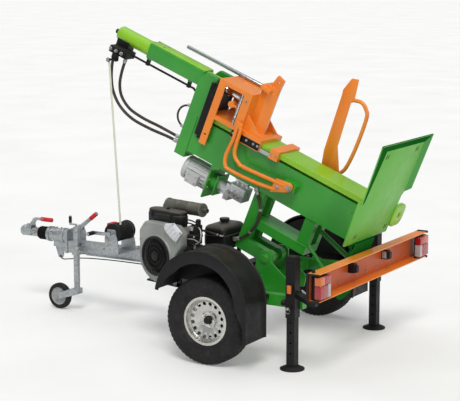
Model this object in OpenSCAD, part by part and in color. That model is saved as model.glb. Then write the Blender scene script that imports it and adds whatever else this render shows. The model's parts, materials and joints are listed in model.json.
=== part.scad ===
// Towable log splitter in its road position. Millimetres. +X rear, +Y right-hand side, +Z up.

/* [Wheels and axle] */
// Outer radius of the road tyres
tyre_r = 297.5; // [285:0.5:310]
// Width of the road tyres
tyre_w = 165; // [150:1:180]
// Bead seat radius of the road wheels
rim_r = 165; // [155:1:178]
// Distance between the two tyre centres
track = 1561; // [1500:1:1640]
// Radius of the stub axles
stub_r = 22; // [18:0.5:28]
// Side of the square axle tube
axle_s = 80; // [60:1:90]
// Inner radius of the mudguards
guard_r = 345; // [335:1:355]
// Height of the mudguards' centre over the axle
guard_rise = 132; // [122:1:142]
// Width of the mudguards
guard_w = 275; // [255:1:285]
// Depth of the mudguards' outer skirt
guard_skirt = 75; // [50:1:85]

/* [Frame] */
// Distance between the two side rail centres
rail_span = 1120; // [1080:1:1150]
// Width of a side rail
rail_w = 60; // [50:1:70]
// Height of a side rail
rail_h = 80; // [60:1:100]
// Height of the rails' underside over the ground
rail_z = 400; // [380:1:420]
// Length of frame ahead of the axle
rail_front = 320; // [305:1:340]
// Length of frame behind the axle
rail_rear = 600; // [585:1:640]
// Length of a cross beam along the frame
beam_w = 80; // [60:1:100]
// Thickness of the engine deck
deck_t = 12; // [8:0.5:16]
// Length of the engine deck
deck_l = 380; // [370:1:420]

/* [Drawbar] */
// Width of the drawbar
drawbar_w = 90; // [80:1:110]
// Height of the drawbar
drawbar_h = 90; // [70:1:110]
// Distance from axle to the drawbar's front end
drawbar_x = 1740; // [1700:1:1800]
// Length of the overrun housing
housing_l = 205; // [180:1:240]
// Radius of the sliding draw tube
draw_r = 28; // [22:0.5:32]
// Travel of the draw tube
draw_travel = 70; // [50:1:75]
// Length of the bellows
bellows_l = 90; // [85:1:110]
// Length of the coupling head
coupling_l = 190; // [170:1:210]
// Radius of the coupling's ball socket
ball_r = 25.4; // [24:0.1:26]
// Radius of the jockey wheel
jockey_r = 100; // [90:1:110]
// Radius of the jockey tube
jockey_tube_r = 24; // [20:0.5:30]
// Trail of the jockey wheel
jockey_trail = 165; // [140:1:180]

/* [Supports and lights] */
// Side of a leg's outer sleeve
sleeve_s = 70; // [60:1:80]
// Wall of a leg's outer sleeve
sleeve_t = 5; // [3:0.5:8]
// Length of a leg's outer sleeve
sleeve_l = 405; // [360:1:430]
// Radius of a foot disc
foot_r = 82; // [70:1:95]
// Length of the light bar
bar_l = 1706; // [1640:1:1760]
// Height of the light bar
bar_h = 184; // [165:1:200]
// Underside of the light bar over the ground
bar_z = 527; // [515:1:540]
// Depth of the light bar
bar_d = 82; // [78:1:95]
// Front face of the light bar behind the axle
bar_x = 768; // [755:1:790]

/* [Column] */
// Slope of the column in its road position
tilt_deg = 22.3; // [20:0.1:25]
// Tilt pivot behind the axle
piv_x = 50; // [40:1:60]
// Radius of the tilt pin
pin_r = 25; // [20:0.5:30]
// Distance from tilt pivot to the base plate's underside
plate_drop = 595; // [585:1:605]
// Width of the column box
col_w = 220; // [200:1:230]
// Depth of the column box
col_d = 260; // [240:1:270]
// Height of the column's back face over the pivot
col_n = 414; // [405:1:430]
// Length of the column ahead of the pivot
col_up = 885; // [860:1:900]
// Width of the guide rail's flange
flange_w = 236; // [226:1:244]
// Thickness of the guide rail's flange
flange_t = 40; // [32:1:44]
// Height of the guide rail's neck
neck_h = 20; // [18:1:26]
// Rim height of the base plate
tray_h = 45; // [40:1:60]
// Depth of the base plate
plate_d = 764; // [720:1:790]
// Half width of the base plate on the left
plate_left = 360; // [340:1:380]
// Half width of the base plate on the right
plate_right = 455; // [430:1:470]

/* [Splitting gear] */
// Radius of the cylinder barrel
barrel_r = 56; // [50:0.5:57]
// Radius of the piston rod
rod_r = 30; // [25:0.5:35]
// Travel of the wedge
wedge_travel = 600; // [500:1:620]
// Height of the wedge
wedge_h = 345; // [300:1:370]
// Thickness of the wedge's back
wedge_t = 90; // [70:1:110]
// Length of the wedge
wedge_l = 115; // [100:1:160]
// Thickness of the carriage plates
plate_t = 12; // [10:0.5:14]
// Radius of the control arm's tubes
arm_r = 14; // [11:0.5:16]

/* [Hidden] */
$fn = 48;

// clearances
fit = 0.3;
run = 0.06;
slip = 0.5;

// main places
axle_z = tyre_r;
rail_y = rail_span / 2;
rail_top = rail_z + rail_h;
rail_in = rail_y - rail_w / 2;
rail_out = rail_y + rail_w / 2;
ground_gap = 5;
piv_z = plate_drop + ground_gap;
col_top = col_n + col_d;
plate_s = plate_drop - tray_h;
flange_n = col_top + neck_h;
rail_n = flange_n + flange_t;
plate_n0 = col_n + 16;
plate_n1 = plate_n0 + plate_d;

// overall box and origin
coup_z = 560;
nose_x = -drawbar_x - housing_l - bellows_l - coupling_l;
rear_x = piv_x + plate_drop * cos(tilt_deg) + plate_n1 * sin(tilt_deg);
origin_x = -(nose_x + rear_x) / 2;

green = [0.16, 0.55, 0.12];
lime = [0.45, 0.72, 0.10];
orange = [0.95, 0.42, 0.05];
black = [0.05, 0.05, 0.055];
zinc = [0.62, 0.64, 0.66];
grey = [0.45, 0.46, 0.47];
silver = [0.75, 0.76, 0.78];
hose_c = [0.09, 0.07, 0.06];

// helpers
module bx(a, b) {
  translate(a) cube([b[0] - a[0], b[1] - a[1], b[2] - a[2]]);
}
module rod_x(y, z, r, x0, x1) {
  translate([x0, y, z]) rotate([0, 90, 0]) cylinder(r = r, h = x1 - x0);
}
module rod_y(x, z, r, y0, y1) {
  translate([x, y0, z]) rotate([-90, 0, 0]) cylinder(r = r, h = y1 - y0);
}
module rod_z(x, y, r, z0, z1) {
  translate([x, y, z0]) cylinder(r = r, h = z1 - z0);
}
// plate whose outline lies in X and Z, from y0 to y1
module slab(outline, y0, y1) {
  translate([0, y1, 0]) rotate([90, 0, 0]) linear_extrude(height = y1 - y0) polygon(outline);
}
module seg(p, q, r) {
  d = q - p;
  l = norm(d);
  translate(p) rotate([0, acos(d[2] / l), atan2(d[1], d[0])]) cylinder(r = r, h = l);
}
module tube(pts, r) {
  for (i = [0 : len(pts) - 2]) seg(pts[i], pts[i + 1], r);
  if (len(pts) > 2) for (i = [1 : len(pts) - 2]) translate(pts[i]) sphere(r = r + 0.5);
}
module placed() {
  translate([origin_x, 0, 0]) children();
}
module col() {
  translate([origin_x + piv_x, 0, piv_z]) rotate([0, tilt_deg, 0]) children();
}

// free cords: smooth route through hand-chosen points, swept as one tube
cord_sides = 10;
function cr(a, b, c, d, t) = 0.5 * (2 * b + (c - a) * t + (2 * a - 5 * b + 4 * c - d) * t * t
  + (3 * b - a - 3 * c + d) * t * t * t);
function at_i(p, i) = p[max(0, min(len(p) - 1, i))];
function route(p, k) = [for (i = [0 : len(p) - 2]) for (j = [0 : k - 1])
  cr(at_i(p, i - 1), p[i], p[i + 1], at_i(p, i + 2), j / k), p[len(p) - 1]];
function unit(v) = v / norm(v);
function tangent(p, i) = unit(at_i(p, i + 1) - at_i(p, i - 1));
function ring(c, t, r) = let (u = unit(cross(t, [0, 1, 0])), v = cross(u, t))
  [for (a = [0 : cord_sides - 1]) c + r * (cos(360 * a / cord_sides) * u + sin(360 * a / cord_sides) * v)];
module cord(p, r) {
  n = len(p);
  m = cord_sides;
  pts = [for (i = [0 : n - 1]) for (q = ring(p[i], tangent(p, i), r)) q];
  sides = [for (i = [0 : n - 2]) for (a = [0 : m - 1]) let (b = (a + 1) % m)
    each [[i * m + a, (i + 1) * m + b, (i + 1) * m + a], [i * m + a, i * m + b, (i + 1) * m + b]]];
  caps = [for (a = [1 : m - 2]) each [[0, a + 1, a], [(n - 1) * m, (n - 1) * m + a, (n - 1) * m + a + 1]]];
  polyhedron(points = pts, faces = concat(sides, caps));
}

// wheels
hub_r = 58;
stub_end = 30;
wheel_y = track / 2;
module tyre_body() {
  groove = 7;
  hw = tyre_w / 2;
  wall = tyre_r - rim_r;
  rotate([90, 0, 0]) rotate_extrude($fn = 72) difference() {
    polygon([[rim_r + fit, -hw * 0.72], [rim_r + wall * 0.12, -hw * 0.86], [rim_r + wall * 0.42, -hw],
      [rim_r + wall * 0.62, -hw], [tyre_r - wall * 0.16, -hw * 0.93], [tyre_r - wall * 0.03, -hw * 0.76],
      [tyre_r, -hw * 0.62], [tyre_r, hw * 0.62], [tyre_r - wall * 0.03, hw * 0.76],
      [tyre_r - wall * 0.16, hw * 0.93], [rim_r + wall * 0.62, hw], [rim_r + wall * 0.42, hw],
      [rim_r + wall * 0.12, hw * 0.86], [rim_r + fit, hw * 0.72]]);
    for (g = [-0.45, -0.15, 0.15, 0.45])
      translate([tyre_r - groove, g * hw - 3.5]) square([groove + 1, 7]);
  }
}
// local +Z is the wheel's outer face
module rim_body() {
  hw = tyre_w / 2;
  disc_z = hw * 0.1;
  holes = 16;
  bolts = 5;
  difference() {
    union() {
      rotate_extrude($fn = 72) polygon([[rim_r - 16, -hw * 0.70], [rim_r, -hw * 0.70], [rim_r, -hw * 0.5],
        [rim_r - 14, -hw * 0.25], [rim_r - 14, hw * 0.25], [rim_r, hw * 0.5], [rim_r, hw * 0.70],
        [rim_r - 16, hw * 0.70], [rim_r - 16, hw * 0.52], [rim_r - 26, hw * 0.28], [rim_r - 26, -hw * 0.28],
        [rim_r - 16, -hw * 0.5]]);
      rotate_extrude($fn = 72) polygon([[stub_r + run, disc_z - 14], [hub_r, disc_z - 14], [hub_r + 12,
        disc_z - 2],
        [rim_r - 40, disc_z + 12], [rim_r - 24, disc_z - 14], [rim_r - 18, disc_z - 14],
        [rim_r - 24, disc_z + 14], [rim_r - 40, disc_z + 22], [hub_r + 10, disc_z + 8],
        [hub_r - 6, disc_z], [stub_r + run, disc_z]]);
      translate([0, 0, -34]) cylinder(r = hub_r - 8, h = disc_z + 32);
      for (i = [0 : bolts - 1]) rotate([0, 0, i * 360 / bolts]) translate([hub_r - 15, 0, disc_z - 8])
        cylinder(r = 10, h = 22, $fn = 6);
    }
    translate([0, 0, -hw]) cylinder(r = stub_r + run, h = tyre_w);
    for (i = [0 : holes - 1]) rotate([0, 0, (i + 0.5) * 360 / holes]) translate([rim_r - 50, 0, -hw / 2])
      cylinder(r = 13, h = hw, $fn = 24);
  }
}
module wheel_at(side) {
  placed() translate([0, side * wheel_y, axle_z]) children();
}
module tyre_near() {
  color(black) wheel_at(-1) tyre_body();
}
module tyre_far() {
  color(black) wheel_at(1) tyre_body();
}
module rim_near() {
  color(silver) wheel_at(-1) rotate([90, 0, 0]) rim_body();
}
module rim_far() {
  color(silver) wheel_at(1) rotate([-90, 0, 0]) rim_body();
}

// frame
module rail(side) {
  y = side * rail_y;
  placed() bx([-rail_front, y - rail_w / 2, rail_z], [rail_rear, y + rail_w / 2, rail_top]);
}
module rail_near() {
  color(green) rail(-1);
}
module rail_far() {
  color(green) rail(1);
}
drawbar_z = coup_z - 75;
db_y = drawbar_w / 2;
deck_top = drawbar_z - drawbar_h / 2;
deck_y = 430;
module front_beam() {
  under = deck_top - deck_t;
  rim = 12;
  color(black) {
    placed() {
      bx([-rail_front, -rail_in, rail_z], [-rail_front + beam_w, rail_in, rail_top]);
      // engine deck on two runners
      bx([-rail_front - deck_l, -deck_y, under], [-rail_front, db_y + 18, deck_top]);
      for (y = [-deck_y + 40, -220]) bx([-rail_front - deck_l + 30, y - 25, under - 28], [-rail_front + 1,
        y + 25, under + 1]);
    }
    // foot plate under the turned engine
    eng() bx([-eng_w / 2 - rim, eng_front - rim, under], [eng_w / 2 + rim, rim - eng_front, deck_top]);
  }
}
sub_w = 200;
brk_gap = 6;
brk_t = 16;
brk_y = max(sub_w, col_w) / 2 + brk_gap;
module tilt_bracket(y0) {
  hw = beam_w / 2;
  slab([[-hw, rail_top], [hw, rail_top], [hw, rail_z - 28], [hw + 190, rail_z - 28], [hw + 210,
    rail_top - 30],
    [piv_x + 52, piv_z - 20], [piv_x + 52, piv_z + 30], [piv_x + 25, piv_z + 55], [piv_x - 25, piv_z + 55],
    [piv_x - 55, piv_z + 25]], y0, y0 + brk_t);
}
module mid_beam() {
  hw = beam_w / 2;
  color(green) placed() {
    bx([-hw, -rail_in, rail_z], [hw, rail_in, rail_top]);
    tilt_bracket(brk_y);
    tilt_bracket(-brk_y - brk_t);
    rod_y(piv_x, piv_z, pin_r, -brk_y - brk_t - 14, brk_y + brk_t + 14);
    for (s = [-1, 1]) rod_y(piv_x, piv_z, pin_r + 10, s > 0 ? brk_y + brk_t : -brk_y - brk_t - 8,
      s > 0 ? brk_y + brk_t + 8 : -brk_y - brk_t);
  }
}
module axle_beam() {
  h = axle_s / 2;
  color(black) placed() {
    bx([-h, -rail_out, axle_z - h], [h, rail_out, axle_z + h]);
    for (s = [-1, 1]) {
      rod_y(0, axle_z, stub_r, s > 0 ? rail_out - 10 : -wheel_y - stub_end,
        s > 0 ? wheel_y + stub_end : 10 - rail_out);
      rod_y(0, axle_z, h, s > 0 ? rail_out : -wheel_y + 62, s > 0 ? wheel_y - 62 : -rail_out);
      bx([-h - 30, s * rail_y - rail_w / 2, axle_z + h - 20], [h + 30, s * rail_y + rail_w / 2, rail_z]);
    }
  }
}

// drawbar and overrun gear
jockey_x = -drawbar_x + 110;
jockey_y = -db_y - jockey_tube_r - 10;
brake_x = -drawbar_x + 60;
brake_z = drawbar_z + drawbar_h / 2 + 96;
lever_t = 10;
module drawbar() {
  z0 = drawbar_z - drawbar_h / 2;
  z1 = drawbar_z + drawbar_h / 2;
  clamp_z = z0 + drawbar_h * 0.35;
  color(zinc) placed() {
    difference() {
      union() {
        bx([-drawbar_x, -db_y, z0], [-rail_front, db_y, z1]);
        // folded lower lips
        bx([-drawbar_x + 190, -db_y - 18, z0], [-rail_front, db_y + 18, z0 + 6]);
        // clamp of the jockey tube
        rod_z(jockey_x, jockey_y, jockey_tube_r + 12, clamp_z - 30, clamp_z + 34);
        bx([jockey_x - 30, jockey_y, clamp_z - 30], [jockey_x + 30, -db_y + 4, clamp_z + 34]);
      }
      rod_z(jockey_x, jockey_y, jockey_tube_r + run, clamp_z - 60, clamp_z + 60);
    }
    // handbrake bracket with its pin
    slab([[brake_x - 40, z1 - 60], [brake_x + 46, z1 - 60], [brake_x + 46, z1 + 60], [brake_x + 24,
      brake_z + 22],
      [brake_x - 18, brake_z + 22], [brake_x - 40, z1 + 70]], db_y, db_y + 8);
    rod_y(brake_x, brake_z, 9, db_y - 26, db_y + 14);
    // pale brake rod beside the beam
    bx([-drawbar_x + 90, db_y, z0 + 30], [-rail_front, db_y + 14, z0 + 44]);
  }
}
module overrun_housing() {
  x0 = -drawbar_x - housing_l;
  x1 = -drawbar_x;
  color(grey) placed() difference() {
    union() {
      rod_x(0, coup_z, draw_r + 24, x0, x1);
      rod_x(0, coup_z, draw_r + 31, x0, x0 + 22);
      rod_x(0, coup_z, draw_r + 30, x1 - 70, x1 - 46);
      bx([x1 - 22, -db_y - 8, drawbar_z - drawbar_h / 2 - 6], [x1, db_y + 8, coup_z + draw_r + 26]);
      bx([x1 - 150, -26, coup_z - draw_r - 60], [x1 - 20, 26, coup_z]);
      slab([[x1 - 150, coup_z - draw_r - 50], [x1 - 60, coup_z - draw_r - 50], [x1 - 84, coup_z - 178],
        [x1 - 116, coup_z - 178]], -9, 9);
      rod_x(0, coup_z, 9, x0 + 30, x0 + 31);
      rod_z(x0 + 70, 0, 9, coup_z + draw_r, coup_z + draw_r + 32);
    }
    rod_x(0, coup_z, draw_r + run, x0 - 1, x1 - 6);
    rod_y(x1 - 100, coup_z - 160, 7, -20, 20);
  }
}
module bellows() {
  x1 = -drawbar_x - housing_l - fit;
  l = bellows_l - 2 * fit;
  ribs = 7;
  p = l / ribs;
  ri = draw_r + 3;
  color(black) placed() translate([x1 - l, 0, coup_z]) rotate([0, 90, 0]) rotate_extrude()
    polygon(concat([[ri, 0]], [for (i = [0 : ribs - 1]) each [[ri + 9, i * p + p * 0.05], [ri + 21,
      i * p + p * 0.35],
      [ri + 21, i * p + p * 0.65], [ri + 9, i * p + p * 0.95]]], [[ri, l]]));
}
coup_x1 = nose_x + coupling_l;
module coupling_head() {
  color(zinc) placed() difference() {
    union() {
      // draw tube that slides in the overrun housing
      rod_x(0, coup_z, draw_r, coup_x1 - 60, -drawbar_x - 10 - draw_travel);
      rod_x(0, coup_z, draw_r + 7, nose_x + 90, coup_x1);
      rod_x(0, coup_z, draw_r + 12, coup_x1 - 16, coup_x1);
      // socket shell over the ball
      intersection() {
        translate([nose_x + 46, 0, coup_z + 4]) sphere(r = 46);
        bx([nose_x, -60, coup_z - 30], [nose_x + 110, 60, coup_z + 60]);
      }
      bx([nose_x + 46, -40, coup_z - 26], [nose_x + 120, 40, coup_z + 34]);
      for (s = [-1, 1]) slab([[nose_x + 60, coup_z + 20], [nose_x + 118, coup_z + 20], [nose_x + 112,
        coup_z + 64],
        [nose_x + 84, coup_z + 68]], s * 30 - 4, s * 30 + 4);
      rod_y(lever_x, lever_z, 6, -38, 38);
    }
    translate([nose_x + 46, 0, coup_z]) sphere(r = ball_r);
    rod_z(nose_x + 46, 0, ball_r, coup_z - 60, coup_z);
  }
}
lever_x = nose_x + 98;
lever_z = coup_z + 52;
module coupling_lever() {
  color(black) placed() {
    difference() {
      union() {
        rod_y(lever_x, lever_z, 14, -25, 25);
        slab([[lever_x - 6, lever_z + 8], [lever_x + 18, lever_z - 4], [lever_x + 46, lever_z + 44],
          [lever_x + 130, lever_z + 46], [lever_x + 130, lever_z + 62], [lever_x + 34, lever_z + 60]], -16,
            16);
      }
      rod_y(lever_x, lever_z, 6 + run, -60, 60);
    }
    rod_x(0, lever_z + 54, 15, lever_x + 100, lever_x + 205);
  }
}
module handbrake_lever() {
  y0 = db_y - lever_t - 2;
  rise = 0.78;
  len_x = 145;
  color(grey) placed() difference() {
    union() {
      rod_y(brake_x, brake_z, 24, y0, y0 + lever_t);
      slab([[brake_x - 12, brake_z + 12], [brake_x + 12, brake_z - 12], [brake_x + len_x + 9,
        brake_z + len_x * rise - 9],
        [brake_x + len_x - 9, brake_z + len_x * rise + 9]], y0, y0 + lever_t);
      seg([brake_x + len_x * 0.55, y0 + lever_t / 2, brake_z + len_x * rise * 0.55],
        [brake_x + len_x * 1.1, y0 + lever_t / 2, brake_z + len_x * rise * 1.1], 15);
    }
    rod_y(brake_x, brake_z, 9 + run, y0 - 5, y0 + lever_t + 5);
  }
}

// jockey wheel
module jockey_tube() {
  top = coup_z + 92;
  color(zinc) placed() {
    rod_z(jockey_x, jockey_y, jockey_tube_r, 2 * jockey_r + 24, top);
    rod_z(jockey_x, jockey_y, 9, top, top + 26);
    bx([jockey_x - 60, jockey_y - 6, top + 14], [jockey_x + 8, jockey_y + 6, top + 26]);
    rod_z(jockey_x - 54, jockey_y, 10, top + 26, top + 84);
  }
}
module jockey_fork() {
  z1 = 2 * jockey_r + 24 - fit;
  w = 30;
  color(zinc) placed() {
    rod_z(jockey_x, jockey_y, jockey_tube_r - 2, z1 - 66, z1);
    for (s = [-1, 1]) slab([[jockey_x + 26, jockey_r + 36], [jockey_x + 26, jockey_r + 78], [jockey_x - 30,
      jockey_r + 78],
      [jockey_x - jockey_trail - 22, jockey_r + 14], [jockey_x - jockey_trail - 22, jockey_r - 16],
      [jockey_x - jockey_trail + 22, jockey_r - 16]],
      jockey_y + s * w - 4, jockey_y + s * w + 4);
    // bridge plate behind the wheel
    bx([jockey_x - 24, jockey_y - w, jockey_r + 50], [jockey_x + 26, jockey_y + w, jockey_r + 78]);
    rod_y(jockey_x - jockey_trail, jockey_r, 9, jockey_y - w - 12, jockey_y + w + 12);
  }
}
module jockey_wheel() {
  hw = 24;
  color(black) placed() translate([jockey_x - jockey_trail, jockey_y, jockey_r]) rotate([90, 0, 0])
    rotate_extrude() polygon([[9 + run, -hw], [30, -hw], [34, -hw + 10], [62, -hw + 12], [70, -hw + 2],
      [jockey_r - 12, -hw], [jockey_r - 3, -hw + 6], [jockey_r, -hw + 14], [jockey_r, hw - 14],
      [jockey_r - 3, hw - 6], [jockey_r - 12, hw], [70, hw - 2], [62, hw - 12], [34, hw - 10], [30, hw],
        [9 + run, hw]]);
}

// hand winch of the tilting rope on the drawbar
winch_x = -1156;
winch_r = 72;
winch_y0 = -270;
winch_y1 = -70;
winch_z = drawbar_z + drawbar_h / 2 + 80 + winch_r;
crank_r = 9;
module winch_frame() {
  z1 = drawbar_z + drawbar_h / 2;
  color(zinc) placed() difference() {
    union() {
      bx([winch_x - 62, winch_y0 - 10, z1], [winch_x + 62, db_y, z1 + 6]);
      for (y = [winch_y0 - 10, winch_y1 + fit]) slab([[winch_x - 62, z1], [winch_x + 62, z1],
        [winch_x + 62, z1 + 50],
        [winch_x + 34, winch_z + 30], [winch_x - 34, winch_z + 30], [winch_x - 62, z1 + 50]], y,
          y + 10 - fit);
    }
    rod_y(winch_x, winch_z, crank_r + run, winch_y0 - 20, winch_y1 + 20);
  }
}
module winch_case() {
  color(black) placed() difference() {
    union() {
      rod_y(winch_x, winch_z, winch_r, winch_y0, winch_y0 + 16);
      rod_y(winch_x, winch_z, winch_r, winch_y1 - 16, winch_y1);
      rod_y(winch_x, winch_z, winch_r - 10, winch_y0, winch_y1);
    }
    rod_y(winch_x, winch_z, crank_r + run, winch_y0 - 1, winch_y1 + 1);
  }
}
module winch_crank() {
  y0 = winch_y0 - 40;
  color(zinc) placed() {
    rod_y(winch_x, winch_z, crank_r, y0, winch_y1 + 14);
    bx([winch_x - 150, y0 - 8, winch_z - 13], [winch_x + 16, y0, winch_z + 13]);
    rod_y(winch_x - 136, winch_z, 13, y0 - 78, y0 - 8);
  }
}

// mudguards
guard_t = 6;
guard_z = axle_z + guard_rise;
function arc(r, a0, a1, n) = [for (i = [0 : n]) let (a = a0 + (a1 - a0) * i / n) [r * cos(a), r * sin(a)]];
module guard_body() {
  y0 = wheel_y - guard_w / 2;
  y1 = wheel_y + guard_w / 2;
  tip = 170;
  flap = 233;
  edge = 12;
  translate([0, 0, guard_z]) {
    slab(concat(arc(guard_r + guard_t, 0, tip, 28), arc(guard_r, tip, 0, 28)), y0, y1);
    // rolled inner edge and deep outer skirt
    slab(concat(arc(guard_r + guard_t + 10, 0, tip, 28), arc(guard_r - 16, tip, 0, 28)), y0, y0 + edge);
    slab(concat(arc(guard_r + guard_t + 4, 0, tip, 28), arc(guard_r - guard_skirt, tip, 0, 28)), y1 - edge,
      y1);
    // front lip
    rotate([0, -tip, 0]) bx([guard_r - 16, y0, -4], [guard_r + 26, y1, 4]);
    // rear flap
    bx([guard_r - 2, y0, -flap], [guard_r + guard_t - 1, y1, 12]);
  }
  // brackets to the side rail; the front one reaches to the guard's front end
  ahead = 5;
  foot = 40;
  front = -guard_r - ahead;
  bx([front, rail_out, rail_top - 30], [-rail_front + 30, y0 + 2, rail_top]);
  bx([front, y0 - 8, rail_top - 30], [front + foot, y0 + 2, rail_top + 45]);
  bx([guard_r - 36, rail_out, rail_top - 30], [guard_r + 4, y0 + 2, rail_top]);
  bx([-20, rail_out, rail_top - 20], [20, y0 + 6, rail_top]);
  bx([-20, y0 - 4, rail_top - 20], [20, y0 + 6, guard_z + guard_r + 3]);
}
module mudguard_near() {
  color(black) placed() mirror([0, 1, 0]) guard_body();
}
module mudguard_far() {
  color(black) placed() guard_body();
}

// engine, turned a little to the front; its own X lies across the fan, its own Y along the crankshaft
eng_turn = -14;
eng_x = -rail_front - 184;
eng_y = -391;
eng_d = 270;
eng_w = 300;
eng_h = 330;
eng_front = -eng_d / 2;
fan_z = deck_top + 196;
fan_r = 190;
blow_t = 64;
fan_face = eng_front - blow_t - 10;
filter_z = deck_top + 402;
muf_y = 55;
muf_z = deck_top + 510;
exhaust_x = -190;
module eng() {
  placed() translate([eng_x, eng_y, 0]) rotate([0, 0, eng_turn]) children();
}
module fins(r, l, n) {
  for (i = [0 : n - 1]) translate([0, 0, l * (i + 0.5) / n - l / n * 0.25]) cylinder(r = r, h = l / n * 0.5);
}
module engine_block() {
  color(grey) eng() {
    bx([-eng_w / 2, eng_front, deck_top], [eng_w / 2, -eng_front, deck_top + eng_h * 0.72]);
    for (s = [-1, 1]) intersection() {
      translate([0, eng_front + 70 + (s > 0 ? 0 : 110), deck_top + 170]) rotate([0, s * 45, 0]) {
        cylinder(r = 66, h = 300);
        translate([0, 0, 130]) fins(84, 165, 8);
      }
      bx([-400, eng_front, deck_top + 20], [400, -eng_front, filter_z - 1]);
    }
    bx([-60, -110, deck_top + 100], [60, 0, filter_z]);
    rod_z(exhaust_x, muf_y, 20, deck_top + 340, muf_z - 46);
  }
}
module blower_housing() {
  shoulder = fan_r + 42;
  color(grey) eng() difference() {
    union() {
      rod_y(0, fan_z, fan_r, eng_front - blow_t, eng_front);
      rod_y(0, fan_z, fan_r - 38, fan_face, eng_front - blow_t + 4);
      // squared shoulders of the scroll
      translate([0, 0, fan_z]) slab([[-fan_r + 6, -20], [-fan_r + 6, 165], [-125, shoulder], [185,
        shoulder], [250, 175],
        [250, 95], [170, 10], [0, 0]], eng_front - blow_t, eng_front);
    }
    rod_y(0, fan_z, fan_r - 62, fan_face - 6, eng_front - 40);
  }
}
module fan_grille() {
  y0 = fan_face - 10;
  ribs = 16;
  color(black) eng() {
    difference() {
      rod_y(0, fan_z, fan_r - 50, y0, fan_face);
      rod_y(0, fan_z, fan_r - 66, y0 - 1, fan_face + 4);
    }
    rod_y(0, fan_z, 34, y0 - 4, fan_face);
    difference() {
      rod_y(0, fan_z, 92, y0, fan_face - 2);
      rod_y(0, fan_z, 86, y0 - 1, fan_face + 4);
    }
    for (i = [0 : ribs - 1]) translate([0, y0, fan_z]) rotate([0, i * 360 / ribs, 0])
      bx([26, 0, -3], [fan_r - 58, 8, 3]);
  }
}
// head cover of the near cylinder, across the fan and above it
cover = [[89, 240], [189, 256], [269, 197], [204, 120], [99, 190]];
cover_mid = [174, 203];
module cylinder_cover() {
  t = 16;
  y1 = eng_front - blow_t;
  inner = [for (p = cover) cover_mid + (p - cover_mid) * 0.82];
  color(silver) eng() translate([0, 0, fan_z]) {
    slab(cover, y1 - t, y1);
    slab(inner, y1 - t - 6, y1 - t + 1);
  }
}
module oval(l, r, z0, z1) {
  for (s = [-1, 1]) rod_z(s * l / 2, 0, r, z0, z1);
  bx([-l / 2, -r, z0], [l / 2, r, z1]);
}
module air_cleaner() {
  r = 60;
  l = 230;
  color(black) eng() translate([-20, -70, filter_z]) {
    oval(l, r - 4, 0, 14);
    oval(l, r, 14, 76);
    oval(l, r - 5, 76, 92);
    oval(l, r - 16, 92, 106);
    rod_z(0, 0, 12, 106, 118);
  }
}
module muffler() {
  x0 = -150;
  x1 = 200;
  color(grey) eng() {
    rod_x(muf_y, muf_z, 46, x0, x1);
    rod_x(muf_y, muf_z, 49, x0 - 4, x0 + 8);
    rod_x(muf_y, muf_z, 49, x1 - 8, x1 + 4);
    rod_x(muf_y, muf_z, 16, x1, x1 + 45);
    tube([[exhaust_x, muf_y, muf_z - 46], [exhaust_x, muf_y, muf_z], [x0 + 10, muf_y, muf_z]], 16);
  }
}
// fuel tank on a stand between the engine and the column
tank_x0 = -rail_front - 92;
tank_l = 187;
tank_y0 = -215;
tank_w = 308;
tank_z = deck_top + 210;
tank_h = 160;
module fuel_tank() {
  y1 = tank_y0 + tank_w;
  x1 = tank_x0 + tank_l;
  e = 26;
  leg = 12;
  cap_x = tank_x0 + tank_l / 2;
  cap_y = tank_y0 + tank_w / 2;
  color(black) placed() {
    translate([tank_x0, 0, tank_z]) slab([[e, 0], [tank_l - e, 0], [tank_l, e], [tank_l, tank_h - e],
      [tank_l - e, tank_h], [e, tank_h], [0, tank_h - e], [0, e]], tank_y0, y1);
    rod_z(cap_x, cap_y, 26, tank_z + tank_h, tank_z + tank_h + 12);
    rod_z(cap_x, cap_y, 36, tank_z + tank_h + 12, tank_z + tank_h + 38);
    // stand on the deck and the cross beam
    bx([tank_x0 + 5, tank_y0 + 5, tank_z - 10], [x1 - 5, y1 - 5, tank_z]);
    for (y = [tank_y0 + 25, tank_y0 + 125]) bx([tank_x0 + 5, y - leg, deck_top], [tank_x0 + 5 + 2 * leg,
      y + leg,
      tank_z - 1]);
    for (y = [tank_y0 + 25, y1 - 23]) bx([x1 - 52 - leg, y - leg, rail_top], [x1 - 52 + leg, y + leg,
      tank_z - 1]);
  }
}

// drop legs
leg_x = rail_rear - 55;
leg_y = rail_out + sleeve_s / 2;
leg_in = sleeve_s - 2 * sleeve_t - 2 * slip;
sleeve_z = rail_z - 50;
hinge_x = bar_x + 24;
hinge_y = -bar_l / 2 + 46;
hinge_r = 12;
module sleeve_body(side) {
  h = sleeve_s / 2;
  i = h - sleeve_t;
  translate([leg_x, side * leg_y, 0]) difference() {
    union() {
      bx([-h, -h, sleeve_z], [h, h, sleeve_z + sleeve_l]);
      bx([-h - 6, -h - 6, sleeve_z + sleeve_l - 30], [h + 6, h + 6, sleeve_z + sleeve_l - 18]);
      rod_y(0, sleeve_z + 70, 14, side > 0 ? h : -h - 26, side > 0 ? h + 26 : -h);
    }
    bx([-i, -i, sleeve_z - 1], [i, i, sleeve_z + sleeve_l + 1]);
  }
}
module leg_sleeve_near() {
  h = sleeve_s / 2;
  z1 = bar_z - 3;
  color(black) placed() difference() {
    union() {
      sleeve_body(-1);
      // arm and pin that carry the light bar
      translate([0, 0, z1 - 30]) linear_extrude(height = 30) polygon([[leg_x + h - 1, -leg_y + h],
        [leg_x + h - 1, -leg_y - h],
        [hinge_x - 20, hinge_y - 24], [hinge_x + 24, hinge_y - 24], [hinge_x + 24, hinge_y + 24]]);
      rod_z(hinge_x, hinge_y, hinge_r, z1 - 30, bar_z + bar_h + 14);
      rod_z(hinge_x, hinge_y, hinge_r + 8, z1, bar_z - slip);
    }
  }
}
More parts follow.
